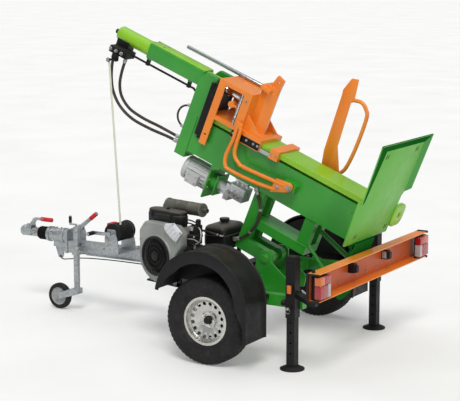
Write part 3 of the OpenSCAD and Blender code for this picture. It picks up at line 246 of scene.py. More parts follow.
def coil(at, r, step, rise, count):
    """Points of an upright spring, with the turn in radians and the climb from each to the next."""
    steps = [(r * math.cos(k * step), r * math.sin(k * step), k * rise) for k in range(count)]
    return [Vector(at) + Vector(p) for p in steps]


# Materials

def srgb(*rgb):
    """Linear colour from the 0 to 255 values read off a picture."""
    return tuple((c / 255 / 12.92) if c < 11 else ((c / 255 + 0.055) / 1.055) ** 2.4 for c in rgb) + (1.0,)


class Finish:
    """A procedural material; its patterns are laid out in metres on the object."""

    def __init__(self, name, rough, metal=0.0, coat=0.0, coat_rough=0.1):
        self.material = bpy.data.materials.new(name)
        self.material.use_nodes = True
        self.tree = self.material.node_tree
        self.shader = self.tree.nodes["Principled BSDF"]
        self.place = self.tree.nodes.new("ShaderNodeTexCoord").outputs["Object"]
        self.set("Roughness", rough)
        self.set("Metallic", metal)
        self.set("Coat Weight", coat)
        self.set("Coat Roughness", coat_rough)

    def feed(self, node, socket, value):
        if isinstance(value, bpy.types.NodeSocket):
            self.tree.links.new(value, node.inputs[socket])
        else:
            node.inputs[socket].default_value = value

    def set(self, socket, value):
        self.feed(self.shader, socket, value)

    def add(self, kind, inputs, output, **settings):
        """New node with its settings and inputs; gives one of its outputs."""
        node = self.tree.nodes.new("ShaderNode" + kind)
        for name, value in settings.items():
            setattr(node, name, value)
        for socket, value in inputs.items():
            self.feed(node, socket, value)
        return node.outputs[output]

    def noise(self, scale, detail=3.0, stretch=None):
        place = self.place
        if stretch:
            place = self.add("Mapping", {"Vector": place, "Scale": stretch}, "Vector")
        return self.add("TexNoise", {"Scale": scale, "Detail": detail, "Vector": place}, "Fac")

    def cells(self, scale):
        colour = self.add("TexVoronoi", {"Scale": scale, "Vector": self.place}, "Color")
        return self.add("SeparateColor", {"Color": colour}, "Red")

    def waves(self, scale, direction="X", distortion=0.0):
        inputs = {"Scale": scale, "Distortion": distortion, "Vector": self.place}
        return self.add("TexWave", inputs, "Fac", bands_direction=direction)

    def span(self, value, low, high, to_low=0.0, to_high=1.0):
        inputs = {"Value": value, "From Min": low, "From Max": high, "To Min": to_low, "To Max": to_high}
        return self.add("MapRange", inputs, "Result")

    def mix(self, factor, a, b):
        return self.add("Mix", {0: factor, 6: a, 7: b}, 2, data_type="RGBA")

    def product(self, a, b):
        return self.add("Math", {0: a, 1: b}, "Value", operation="MULTIPLY")

    def larger(self, a, b):
        return self.add("Math", {0: a, 1: b}, "Value", operation="MAXIMUM")

    def edges(self, radius):
        """One along the edges of the shape, and zero on its flats."""
        soft = self.add("Bevel", {"Radius": radius}, "Normal", samples=4)
        flat = self.add("NewGeometry", {}, "Normal")
        alike = self.add("VectorMath", {0: soft, 1: flat}, "Value", operation="DOT_PRODUCT")
        return self.span(alike, 0.86, 0.99, 1.0, 0.0)

    def facing_up(self):
        """One on faces that look up: where dust settles, and where the plastics' painted sheen lies."""
        normal = self.add("NewGeometry", {}, "Normal")
        return self.span(self.add("SeparateXYZ", {"Vector": normal}, "Z"), 0.2, 1.0)

    def bump(self, height, distance, strength=0.5):
        inputs = {"Height": height, "Distance": distance, "Strength": strength}
        earlier = self.shader.inputs["Normal"].links
        if earlier:
            inputs["Normal"] = earlier[0].from_socket
        self.set("Normal", self.add("Bump", inputs, "Normal"))


# tone of the film on top faces: dust on the paints, and on the plastics also a painted sheen for the sky's
# reflection
DUST_AND_SHEEN_TONE = srgb(176, 168, 150)


def lighter(tone, gain, lift):
    """Paler tone, as where paint or a casting's skin is rubbed."""
    return tuple(min(1.0, c * gain + lift) for c in tone[:3]) + (1.0,)


def paint(name, tone, deep, rough=0.36, coat=0.25, top_film=0.10, gloss=0.5):
    """Sprayed gloss paint: slow drift of tone, orange peel, thin rubbed edges and a little dust on top."""
    f = Finish(name, rough, coat=coat, coat_rough=0.18)
    f.set("Specular IOR Level", gloss)
    drift = f.mix(f.span(f.noise(2.6, 2), 0.35, 0.68), deep, tone)
    worn = f.product(f.edges(0.003), f.span(f.noise(38), 0.3, 0.7, 0.15, 0.75))
    rubbed = f.mix(worn, drift, lighter(tone, 1.25, 0.035))
    film = f.product(f.facing_up(), f.span(f.noise(9, 6), 0.42, 0.75, 0.0, top_film))
    f.set("Base Color", f.mix(film, rubbed, DUST_AND_SHEEN_TONE))
    f.set("Roughness", f.span(f.noise(16, 5), 0.3, 0.75, rough - 0.07, rough + 0.1))
    f.bump(f.noise(520, 2), 0.0006, 0.18)
    f.bump(f.noise(6, 1), 0.004, 0.12)
    return f.material


def zinc(name, tone, deep, spangle=75, rough=0.45):
    """Hot-dip galvanised steel with its spangle and dull runs."""
    f = Finish(name, rough, metal=0.75)
    flake = f.mix(f.span(f.cells(spangle), 0.0, 1.0), deep, tone)
    bloom = f.span(f.noise(7, 5), 0.45, 0.8, 0.0, 0.55)
    f.set("Base Color", f.mix(bloom, flake, tuple(0.5 * (a + b) for a, b in zip(tone, deep))))
    f.set("Roughness", f.span(f.cells(spangle), 0.0, 1.0, rough - 0.12, rough + 0.14))
    f.bump(f.noise(190, 4), 0.0009, 0.25)
    return f.material


def casting(name, tone, deep, rough=0.55, metal=0.35, grain=260):
    """Cast or sand-blasted metal with a fine pitted skin."""
    f = Finish(name, rough, metal=metal)
    base = f.mix(f.span(f.noise(5, 4), 0.35, 0.7), deep, tone)
    f.set("Base Color", f.mix(f.product(f.edges(0.003), 0.6), base, lighter(tone, 1.3, 0.03)))
    f.set("Roughness", f.span(f.noise(30, 4), 0.3, 0.7, rough - 0.1, rough + 0.12))
    f.bump(f.noise(grain, 5), 0.0012, 0.4)
    return f.material


def steel(name, tone, deep, rough, stretch):
    """Ground or drawn bright metal with faint tool marks along the stretch."""
    f = Finish(name, rough, metal=1.0)
    marks = f.noise(40, 4, stretch)
    f.set("Base Color", f.mix(f.span(marks, 0.3, 0.7), deep, tone))
    f.set("Roughness", f.span(marks, 0.25, 0.8, rough * 0.7, rough * 1.5))
    f.bump(marks, 0.0003, 0.15)
    return f.material


def plastic(name, tone, deep, rough=0.5, grain=650, strength=0.35, top_film=(0.01, 0.1), gloss=0.25):
    """Moulded plastic with a leathery grain, and the least and most of a grey film on its top faces: dust,
    and at its least an even painted sheen for the sky's reflection.
    """
    f = Finish(name, rough)
    f.set("Specular IOR Level", gloss)
    base = f.mix(f.span(f.noise(4, 4), 0.35, 0.7), deep, tone)
    # grey film on the top faces: an even painted sheen for the sky's reflection at its least, with dust over
    # it
    film = f.product(f.facing_up(), f.span(f.noise(11, 5), 0.35, 0.8, *top_film))
    f.set("Base Color", f.mix(film, base, DUST_AND_SHEEN_TONE))
    f.set("Roughness", f.span(f.noise(20, 5), 0.3, 0.7, rough - 0.08, rough + 0.12))
    f.bump(f.noise(grain, 3), 0.0006, strength)
    return f.material


def lens(name, tone, deep, ribs=150):
    """Clear coloured lens with moulded prisms behind a glossy face."""
    f = Finish(name, 0.16, coat=0.6, coat_rough=0.05)
    prism = f.product(f.waves(ribs, "Y"), f.waves(ribs, "Z"))
    f.set("Base Color", f.mix(f.span(prism, 0.05, 0.6), deep, tone))
    f.bump(prism, 0.0012, 0.5)
    return f.material


def hose_rubber(name):
    """Wrapped hydraulic hose: brown-black cover with the cloth's fine weave."""
    f = Finish(name, 0.55)
    wrap = f.product(f.waves(420, "DIAGONAL", 1.0), f.waves(380, "Z", 1.0))
    base = f.mix(f.span(f.noise(18, 4), 0.3, 0.7), srgb(38, 30, 26), srgb(66, 52, 44))
    f.set("Base Color", f.mix(f.span(wrap, 0.1, 0.8, 0.0, 0.35), base, srgb(24, 20, 18)))
    f.bump(wrap, 0.0005, 0.4)
    return f.material


def tyre_rubber(name):
    """Road tyre: dark tread, sidewall with mould rings and a grey bloom of dust."""
    f = Finish(name, 0.72)
    f.set("Specular IOR Level", 0.3)
    base = f.mix(f.span(f.noise(9, 5), 0.35, 0.7), srgb(26, 24, 25), srgb(36, 34, 35))
    grime = f.span(f.noise(26, 6), 0.5, 0.8, 0.0, 0.07)
    f.set("Base Color", f.mix(grime, base, srgb(120, 112, 100)))
    f.set("Roughness", f.span(f.noise(40, 4), 0.3, 0.7, 0.6, 0.85))
    f.bump(f.noise(420, 4), 0.0008, 0.35)
    return f.material


def rope_fibre(name):
    """Laid polypropylene rope with stray fibres along each strand."""
    f = Finish(name, 0.75)
    fibre = f.noise(900, 4, (1.0, 1.0, 0.12))
    base = f.mix(f.span(fibre, 0.3, 0.7), srgb(204, 210, 188), srgb(232, 236, 216))
    f.set("Base Color", f.mix(f.span(f.noise(14, 3), 0.5, 0.8, 0.0, 0.3), base, srgb(186, 186, 160)))
    f.set("Sheen Weight", 0.2)
    f.bump(fibre, 0.0006, 0.5)
    return f.material


GREEN = paint("green_paint", srgb(52, 160, 44), srgb(38, 138, 38))
# painted shade: dark green for the base plate's top and left lips and its foot, which lie in shade
PAINTED_SHADE_GREEN = paint("painted_shade_green", srgb(30, 106, 38), srgb(22, 90, 32), 0.7, coat=0.0, top_film=0.0, gloss=0.0)
# painted light: pale green for the base plate's panel and rolled edge, where light falls full on the plate's
# rear face
LIT_PANEL_GREEN = paint("painted_light_green", srgb(112, 190, 74), srgb(100, 180, 62), 0.42, 0.0, top_film=0.03, gloss=0.3)
# painted highlight: yellow-green for the lit tops of green paint, on the guide rail, the cylinder's barrel,
# the plate's lug and the housing's top strip
HIGHLIGHT_GREEN = paint("lime_paint", srgb(150, 205, 30), srgb(128, 190, 28))
DEEP_ORANGE = paint("deep_orange", srgb(198, 92, 32), srgb(178, 78, 28), coat=0.0, top_film=0.0, gloss=0.3)
ORANGE = paint("orange_paint", srgb(247, 146, 44), srgb(240, 130, 32))
BLACK = paint("black_paint", srgb(25, 24, 26), srgb(18, 17, 19), rough=0.5, coat=0.0, top_film=0.08, gloss=0.25)
SILVER = casting("silver_rim", srgb(214, 213, 208), srgb(190, 189, 184), rough=0.28, metal=0.9, grain=420)
ZINC = zinc("galvanised", srgb(190, 194, 196), srgb(146, 151, 154))
BOLTS = zinc("bolt_zinc", srgb(196, 196, 190), srgb(140, 140, 136), spangle=220, rough=0.35)
CAST = casting("grey_casting", srgb(158, 158, 152), srgb(128, 128, 124))
BLOWER = casting("blower_shell", srgb(154, 157, 152), srgb(134, 137, 132), rough=0.42, metal=0.15)
MOTOR = casting("motor_alloy", srgb(208, 209, 208), srgb(184, 185, 185), rough=0.58, metal=0.05, grain=340)
PUMP = casting("pump_alloy", srgb(236, 236, 238), srgb(210, 211, 214), rough=0.36, metal=0.6, grain=120)
MUFFLER = casting("muffler_steel", srgb(132, 130, 120), srgb(94, 93, 85), rough=0.5, metal=0.6, grain=120)
HEAD = casting("head_alloy", srgb(238, 238, 240), srgb(220, 220, 224), rough=0.4, metal=0.1, grain=340)
CHROME = steel("chrome_rod", srgb(226, 228, 230), srgb(196, 198, 202), 0.09, (1.0, 12.0, 12.0))
BRIGHT = steel("bright_steel", srgb(196, 198, 200), srgb(150, 152, 156), 0.26, (1.0, 10.0, 10.0))
PLASTIC = plastic("black_plastic", srgb(30, 28, 30), srgb(20, 19, 21))
# the air cleaner's and the tank's tops get much of the grey film: mostly painted sheen for the sky's
# reflection, with some dust
COVER = plastic("cover_plastic", srgb(28, 27, 28), srgb(20, 19, 20), rough=0.4, top_film=(0.16, 0.28))
GUARD = plastic("guard_plastic", srgb(27, 25, 27), srgb(19, 18, 20), rough=0.46, grain=300, top_film=(0.0, 0.05))
RED_GRIP = plastic("red_grip", srgb(214, 44, 50), srgb(178, 26, 36), rough=0.42)
PALE_PLASTIC = plastic("pale_plastic", srgb(176, 178, 178), srgb(146, 148, 150), rough=0.45)
RUBBER = plastic("black_rubber", srgb(25, 24, 24), srgb(16, 15, 16), rough=0.7, grain=900)
TYRE = tyre_rubber("tyre_rubber")
HOSE = hose_rubber("hose_cover")
ROPE = rope_fibre("rope_fibre")
RED_LENS = lens("lamp_red", srgb(214, 30, 40), srgb(150, 10, 20))
AMBER_LENS = lens("lamp_amber", srgb(246, 138, 32), srgb(206, 92, 16))
CLEAR_LENS = lens("lamp_clear", srgb(216, 214, 210), srgb(160, 160, 160), ribs=90)

# CAD nodes that keep their shape: finish, and how far their edges are rounded in millimetres
FINISHES = {
    # front_beam is black as painted shade, for the shade under the engine where it shows
    "rail_near": (GREEN, 4), "rail_far": (GREEN, 4), "front_beam": (BLACK, 2), "mid_beam": (GREEN, 2),
    "axle_beam": (BLACK, 3), "drawbar": (ZINC, 2.5), "overrun_housing": (ZINC, 3),
    "winch_frame": (ZINC, 1.5), "winch_crank": (ZINC, 2), "engine_block": (CAST, 2),
    "leg_sleeve_near": (BLACK, 2.5), "leg_sleeve_far": (BLACK, 2.5), "rim_near": (SILVER, 1.5),
    "rim_far": (SILVER, 1.5), "jockey_tube": (ZINC, 2), "jockey_fork": (ZINC, 1.5),
    "coupling_head": (ZINC, 2.5), "coupling_lever": (ZINC, 2.5), "handbrake_lever": (ZINC, 2),
    "light_bar": (ORANGE, 1.5), "plate_lamps": (PLASTIC, 4), "leg_near": (BLACK, 3),
    # guide_rail and cylinder_barrel take the painted highlight green, for the light on their green tops
    "leg_far": (BLACK, 3), "column_box": (GREEN, 5), "guide_rail": (HIGHLIGHT_GREEN, 3), "sub_frame": (GREEN, 3),
    "head_box": (GREEN, 3), "head_plate": (BLACK, 3), "cylinder_barrel": (HIGHLIGHT_GREEN, 3),
    "cylinder_lines": (BLACK, 2), "electric_motor": (MOTOR, 1), "bell_housing": (GREEN, 2.5),
    "hydraulic_pump": (PUMP, 2.5), "carriage_frame": (ORANGE, 2.5), "wedge": (ORANGE, 2),
    "piston_rod": (CHROME, 1), "trip_rods": (BRIGHT, 1.5),
}


def dress(name, finish, soft):
    """Gives a CAD node its finish and rounded edges; its own vertices stay as packed."""
    node = NODE[name]
    if not node.material_slots:
        node.data.materials.append(finish)
    for slot in node.material_slots:
        slot.link = "OBJECT"
        slot.material = finish
    weld = node.modifiers.new("join", "WELD")
    weld.merge_threshold = 0.02 * MM
    flat = node.modifiers.new("flats", "DECIMATE")
    flat.decimate_type = "DISSOLVE"
    flat.angle_limit = math.radians(1.0)
    edge = node.modifiers.new("edges", "BEVEL")
    edge.width = soft * MM
    edge.segments = 2
    edge.limit_method = "ANGLE"
    edge.angle_limit = math.radians(32)
    edge.harden_normals = True


for node_name, (node_finish, node_soft) in FINISHES.items():
    dress(node_name, node_finish, node_soft)


# Camera, at the photograph's viewing angle, with a soft key, a wide top light, a fill from behind and a floor

CAMERA_AT = Vector((5.4857, -8.654, 2.665))
CAMERA_YAW = math.radians(31.05)
CAMERA_PITCH = math.radians(9.57)
LENS_MM = 112.04

camera_data = bpy.data.cameras.new("camera")
camera_data.lens = LENS_MM
camera_data.sensor_width = 36.0
camera = bpy.data.objects.new("camera", camera_data)
camera.location = CAMERA_AT
sight = Vector((-math.sin(CAMERA_YAW) * math.cos(CAMERA_PITCH),
                math.cos(CAMERA_YAW) * math.cos(CAMERA_PITCH), -math.sin(CAMERA_PITCH)))
camera.rotation_euler = sight.to_track_quat("-Z", "Y").to_euler()
bpy.context.scene.collection.objects.link(camera)
bpy.context.scene.camera = camera
bpy.context.scene.view_settings.view_transform = "Standard"


def sun(name, source, strength, spread, tint=(1.0, 1.0, 1.0)):
    """Even light from one direction; spread is the lamp's width in degrees, which softens its shadows."""
    data = bpy.data.lights.new(name, "SUN")
    data.energy = strength
    data.angle = math.radians(spread)
    data.color = tint
    light = bpy.data.objects.new(name, data)
    light.rotation_euler = Vector(source).to_track_quat("Z", "Y").to_euler()
    light.location = Vector(source) * 6
    bpy.context.scene.collection.objects.link(light)


sun("key", (0.30, -0.52, 0.80), 1.5, 22, (1.0, 0.985, 0.96))
sun("top", (-0.35, 0.15, 0.92), 0.75, 60)
sun("rear_fill", (0.88, -0.40, 0.22), 0.6, 40)

world = bpy.data.worlds.new("studio")
world.use_nodes = True
bpy.context.scene.world = world
sky = world.node_tree.nodes["Background"]
sky.inputs["Color"].default_value = (0.94, 0.97, 1.0, 1.0)
sky.inputs["Strength"].default_value = 0.40


FLOOR_GLOW = 0.17
FLOOR_REACH = 300.0


def studio_floor():
    """Pale floor that keeps the shadow, and shows near white to the camera and in reflections."""
    f = Finish("floor", 0.9)
    tone = f.mix(f.span(f.noise(0.8, 3), 0.3, 0.7), srgb(224, 224, 222), srgb(232, 232, 230))
    f.set("Base Color", tone)
    path = f.tree.nodes.new("ShaderNodeLightPath").outputs
    mirrored = f.larger(path["Is Glossy Ray"], path["Is Transmission Ray"])
    f.set("Emission Color", (1.0, 1.0, 1.0, 1.0))
    f.set("Emission Strength", f.product(f.larger(path["Is Camera Ray"], mirrored), FLOOR_GLOW))
    data = bpy.data.meshes.new("floor")
    reach = FLOOR_REACH
    corners = [(-reach, -reach, 0), (reach, -reach, 0), (reach, reach, 0), (-reach, reach, 0)]
    data.from_pydata(corners, [], [(0, 1, 2, 3)])
    data.materials.append(f.material)
    floor = bpy.data.objects.new("floor", data)
    floor.location.z = -MM
    bpy.context.scene.collection.objects.link(floor)


studio_floor()


# Hoses and rope, on the same points as their solids

def half_loop(start, end, out, stand):
    """Half circle between two unions, standing off from them."""
    middle = (start + end) / 2 + out * stand
    side = (start - end).normalized()
    bow = arc((end - start).length / 2, 0, 180, 9)
    return [start] + [middle + side * x + out * y for x, y in bow] + [end]


HOSES = {
    "hose_front": (11, [(-1223.3, -110, 1988.7), (-1238.5, -110.5, 1951.7), (-1251, -112, 1890),
                        (-1254, -115, 1805), (-1238, -117, 1710), (-1182, -117, 1608), (-1078, -115, 1520),
                        (-930, -110, 1456), (-772.4, -101, 1404.3), (-689.1, -96, 1370.1)]),
    "hose_rear": (11, [(-1135.2, -98, 1953.2), (-1148, -97, 1922), (-1178, -95, 1844), (-1196, -93, 1760),
                       (-1180, -92, 1672), (-1110, -91, 1586), (-990, -90, 1522), (-860, -88, 1474),
                       (-757.4, -87, 1432.7), (-676.9, -86, 1399.7)]),
    "hose_loop": (7.5, half_loop(Vector((-585.5, -70, 1623.8)), Vector((-646.3, -70, 1475.8)), -ALONG, 12)),
}
ROPE_R = 8.0
ROPE_ENDS = [Vector((-1193, -225, 1940)), Vector((-1112.4, -225, 745))]


def hose(name, r, points):
    """Hydraulic hose with a crimped ferrule and a nut at each end."""
    line = smooth(points, 6)
    piece = Shape().tube(line, r, 18).done(name + "_cover", "column", HOSE, "black_rubber", [name])
    ends = Shape()
    for tip, inner in ((line[0], line[3]), (line[-1], line[-4])):
        way = (inner - tip).normalized()
        crimp = [(0, 0), (r + 1, 0), (r + 3.5, 3), (r + 3.5, 12), (r + 2.5, 14), (r + 3.5, 16), (r + 3.5, 24),
                 (r + 2.5, 26), (r + 3.5, 28), (r + 3, 36), (r + 0.4, 38)]
        ends.lathe(crimp, tip, way, 28)
        ends.lathe([(0, -2), (r + 4, -2), (r + 5, 0), (r + 5, 10), (r + 4, 12), (0, 12)], tip, way, 6)
    fittings = ends.done(name + "_fittings", "column", BOLTS, "galvanised")


for hose_name, (hose_r, hose_points) in HOSES.items():
    hose(hose_name, hose_r, hose_points)


def laid_rope(name, body, ends, r, pitch=34.0, strands=3):
    """Three strands twisted round one straight line."""
    a, b = ends
    way = (b - a).normalized()
    side = way.orthogonal().normalized()
    strand_r = r * 0.58
    reach = r - strand_r
    steps = int((b - a).length / 3.4)
    shape = Shape()
    for k in range(strands):
        line = []
        for i in range(steps + 1):
            p = a.lerp(b, i / steps)
            angle = 2 * math.pi * ((b - a).length * i / steps / pitch + k / strands)
            line.append(p + Quaternion(way, angle) @ side * reach)
        shape.tube(line, strand_r, 8)
    piece = shape.done(name, body, ROPE, "rope_fibre", ["rope"])


laid_rope("laid_rope", "tie_rope", ROPE_ENDS, ROPE_R)


# Road wheels

TYRE_R, RIM_R, WHEEL_Y, AXLE_Z = 297.5, 165.0, 780.5, 297.5
DISC_H = 8.25
TREAD_SIDES = 216
TREAD_GROOVES = (37.0, 12.4)
GROOVE_DEEP, SIPE_DEEP = 6.5, 4.5


def tyre_profile():
    """Radius, offset across the tyre, and whether cross grooves cut that point."""
    wall = TYRE_R - RIM_R
    flank = [(0.4, 60), (8, 66), (16, 71), (19, 74), (22, 73.5), (40, 80), (43, 81.8), (46, 81), (58, 82.4),
             (78, 82.4), (90, 81), (93, 81.4), (96, 80), (wall * 0.84, 76.5)]
    shoulder = [(wall * 0.10, 72.5), (5, 64), (1.6, 56)]
    half = [(RIM_R + r, h, False) for r, h in flank] + [(TYRE_R - r, h, True) for r, h in shoulder]
    for g in TREAD_GROOVES:
        bed = TYRE_R - GROOVE_DEEP
        half += [(TYRE_R - 0.4, g + 4.5, g > 30), (bed, g + 3, False), (bed, g - 3, False),
                 (TYRE_R, g - 4.5, False)]
    return half + [(r, -h, cut) for r, h, cut in reversed(half)]


def road_tyre(name, body, side, node):
    """Tyre with its grooves and the cross cuts of the tread."""
    centre = Vector((0, side * WHEEL_Y, AXLE_Z))
    rings = []
    for r, h, cut in tyre_profile():
        ring = []
        for i in range(TREAD_SIDES):
            # the two halves of the tread are set two steps apart
            angle = 2 * math.pi * (i + (2 if h > 0 else 0)) / TREAD_SIDES
            sunk = SIPE_DEEP if cut and i % 4 == 0 else 0.0
            ring.append(centre + Y * side * h + spoke(angle, r - sunk))
        rings.append(ring)
    Shape().loft(rings, closed=True).done(name, body, TYRE, "tyre_rubber", [node], sharp=50)


def hub_parts(name, body, side):
    """Wheel nuts' studs and washers, dust cap, brake drum and tyre valve, deep in the dish."""
    out = Y * side
    centre = Vector((0, side * WHEEL_Y, AXLE_Z))
    cap = [(0, 40), (14, 40), (21, 38), (25, 33), (26, 12), (29, 11), (29, DISC_H + 0.3), (0, DISC_H + 0.3)]
    Shape().lathe(cap, centre, out, 36).done(name + "_dust_cap", body, PLASTIC, "black_plastic")
    drum = [(52, -40), (118, -40), (126, -36), (128, -30), (128, -20), (124, -17), (52, -17)]
    Shape().lathe(drum, centre, out, 60, closed=True).done(name + "_brake_drum", body, BLACK, "black_paint")
    shape = Shape()
    for angle in turns(5):
        at = centre + Quaternion(Y, angle) @ X * 43 + out * (DISC_H + 13)
        shape.lathe([(0, 0), (6, 0), (5.5, 7), (4, 8.5), (0, 8.5)], at, out, 14)
        shape.lathe([(0, -12.4), (14, -12.4), (13, -9), (10, -7), (0, -7)], at, out, 20)
    shape.done(name + "_hub_fittings", body, SILVER, "galvanised")
    valve_at = centre + X * 128 + Z * 14 + out * (DISC_H + 6)
    stem = [(0, 0), (7, 0), (6, 4), (4.2, 8), (4.2, 26), (3.4, 27), (3.4, 34), (0, 34)]
    valve = Shape().lathe(stem, valve_at, out * 0.9 + X * 0.35, 14)
    valve.done(name + "_valve", body, RUBBER, "black_rubber")


for wheel, wheel_body, wheel_side in (("near", "left_wheel", -1), ("far", "right_wheel", 1)):
    road_tyre("road_tyre_" + wheel, wheel_body, wheel_side, "tyre_" + wheel)
    hub_parts("wheel_" + wheel, wheel_body, wheel_side)


# Mudguards: one moulded shell over the wheel, with a rolled inner edge, a deep skirt outside and a rear flap

GUARD_R, GUARD_Z, GUARD_HALF, GUARD_TIP, FLAP_DROP = 345.0, 429.5, 137.5, 170.0, 233.0
RAIL_OUT, RAIL_TOP, RAIL_FRONT = 590.0, 480.0, 320.0
# across the guard, outwards, and away from the wheel
GUARD_SECTION = [
    (-137.5, -16), (-137.5, 10), (-134.5, 15), (-129, 15.5), (-125, 11), (-118, 6.6), (-60, 6), (0, 6.6),
    (60, 6), (112, 6.6), (124, 9.4), (132, 9), (137, 4), (137.5, -4), (137.5, -71), (135.5, -75), (132, -75),
    (130, -71), (130, -5), (122, 0.8), (0, 1.6), (-122, 0.8), (-130, -5), (-130, -16)]


def mudguard(name, side, node):
    """Shell swept over the wheel and down its rear flap, with its brackets and screws."""
    frames = []
    for i in range(65):
        degrees = GUARD_TIP * (1 - i / 64)
        radial = spoke(math.radians(degrees))
        # the skirt tapers into the front tip
        depth = min(1.0, 0.25 + 0.75 * (GUARD_TIP - degrees) / 34)
        frames.append((radial * GUARD_R, radial, depth))
    for drop in (10, 60, 120, 180, 222, FLAP_DROP):
        frames.append((Vector((GUARD_R, 0, -drop)), X, max(0.12, 1.0 - drop / 150)))
    centre = Vector((0, side * WHEEL_Y, GUARD_Z))
    rings = []
    for p, radial, depth in frames:
        section = [(w * side, t if t > -6 else t * depth) for w, t in GUARD_SECTION]
        rings.append([centre + p + Y * w + radial * t for w, t in section])
    shape = Shape().loft(rings)
    # inner wall over the tyre's shoulder
    inner = side * (WHEEL_Y - GUARD_HALF)
    wall = [(x, GUARD_Z + z) for x, z in arc(GUARD_R + 2, 14, 166, 48)]
    shape.plate(wall, (0, inner + side * 1.5 + 1.5, 0), X, Z, 3, 0)
    # brackets to the side rail, at the front, at the back and in the middle
    front, rail, edge = -GUARD_R - 5, side * RAIL_OUT, inner + side * 2
    low, high = sorted((inner - side * 8, edge))
    shape.box((front, rail, RAIL_TOP - 30), (-RAIL_FRONT + 30, edge, RAIL_TOP), 2)
    shape.box((front, low, RAIL_TOP - 30), (front + 40, high, RAIL_TOP + 45), 2)
    shape.box((GUARD_R - 36, rail, RAIL_TOP - 30), (GUARD_R + 4, edge, RAIL_TOP), 2)
    shape.box((-20, rail, RAIL_TOP - 20), (20, edge, RAIL_TOP), 2)
    shape.box((-20, low + 4, RAIL_TOP - 20), (20, high, GUARD_Z + GUARD_R + 2), 2)
    shape.done(name, "trailer", GUARD, "black_plastic", [node], sharp=50)
    screws = Shape().bolts((-RAIL_FRONT, 0, GUARD_R - 18), [(rail + inner) / 2], [RAIL_TOP], Z, 13)
    screws.done(name + "_screws", "trailer", BOLTS, "galvanised")


mudguard("mudguard_shell_near", -1, "mudguard_near")
mudguard("mudguard_shell_far", 1, "mudguard_far")


# Engine, in a frame of its own: X across the fan, Y along the crankshaft, turned a little to the front

ENGINE_AT, ENGINE_TURN = (-504, -391, 0), math.radians(-14)
ENGINE = ROAD @ Matrix.Translation(ENGINE_AT) @ Matrix.Rotation(ENGINE_TURN, 4, "Z")
DECK = 440.0
FAN_R, OPENING, FAN_Z = 190.0, 128.0, DECK + 196
FAN = Vector((0, -135, FAN_Z))
SHOULDER = [(-184, -20), (-184, 158), (-178, 174), (-134, 225), (-118, 232), (174, 232), (192, 226),
            (243, 184), (250, 168), (250, 99), (244, 88), (170, 10)]


def shell_reach(angle):
    """Distance from the fan's centre to the blower's outline: round below, squared over the top."""
    ray = (math.cos(angle), math.sin(angle))
    best = FAN_R
    for (ax, az), (bx, bz) in zip(SHOULDER, SHOULDER[1:]):
        ex, ez = bx - ax, bz - az
        cross = ray[0] * ez - ray[1] * ex
        if abs(cross) > 1e-9:
            t = (ax * ez - az * ex) / cross
            s = (ax * ray[1] - az * ray[0]) / cross
            if t > 0 and 0 <= s <= 1:
                best = max(best, t)
    return best


def blower():
    """Sheet cover of the fan, rolled in to a raised lip round the opening."""
    # inset from the outline and height towards the fan's side
    steps = [(0, 0), (0, 44), (-2, 54), (-7, 61), (-15, 64)]
    lip = [(158, 64.4), (154, 66), (152, 70), (149, 73.4), (134, 74), (130, 73), (OPENING, 70),
           (OPENING - 2, 30)]
    around = turns(144)
    rings = [[FAN + FRONT * h + spoke(a, shell_reach(a) + inset) for a in around] for inset, h in steps]
    rings += [[FAN + FRONT * h + spoke(a, r) for a in around] for r, h in lip]
    Shape(ENGINE).loft(rings).done("blower_shell", "trailer", BLOWER, "grey_casting", ["blower_housing"])
    screws = Shape(ENGINE)
    for degrees in (-150, -95, -35, 60, 118, 150):
        a = math.radians(degrees)
        screws.bolt(FAN + FRONT * 63.6 + spoke(a, shell_reach(a) - 17), FRONT, 9)
    screws.done("blower_screws", "trailer", BOLTS, "galvanised")


def fan():
    """Guard with its ribs and hoops, and the fan's wheel behind it."""
    grille = Shape(ENGINE)
    rim = [(123, 74.4), (123, 80), (126, 83.4), (134, 84), (139, 81), (140, 74.4)]
    grille.lathe(rim, FAN, FRONT, 72, closed=True)
    grille.lathe([(0, 87), (24, 87), (32, 84), (34, 78), (0, 78)], FAN, FRONT, 40)
    for r in (58, 89):
        grille.lathe([(r - 2, 77), (r - 2, 81), (r + 2, 81), (r + 2, 77)], FAN, FRONT, 60, closed=True)
    rib = [(30, -1.5), (125, -1.9), (125, 1.9), (30, 1.5)]
    for a in turns(40):
        grille.plate(rib, FAN + FRONT * 76.5, spoke(a), spoke(a + math.pi / 2), -6, 0.6, 1)
    grille.done("fan_guard", "trailer", PLASTIC, "black_plastic", ["fan_grille"])
    wheel = Shape(ENGINE)
    wheel.lathe([(0, 37), (124, 37), (124, 34), (0, 34)], FAN, FRONT, 60)
    blade = [(50, -2), (120, 10), (120, 14), (50, 2)]
    for a in turns(20):
        wheel.plate(blade, FAN + FRONT * 37, spoke(a), spoke(a + math.pi / 2), -24, 0.8, 1)
    wheel.done("fan_wheel", "trailer", RUBBER, "black_plastic")


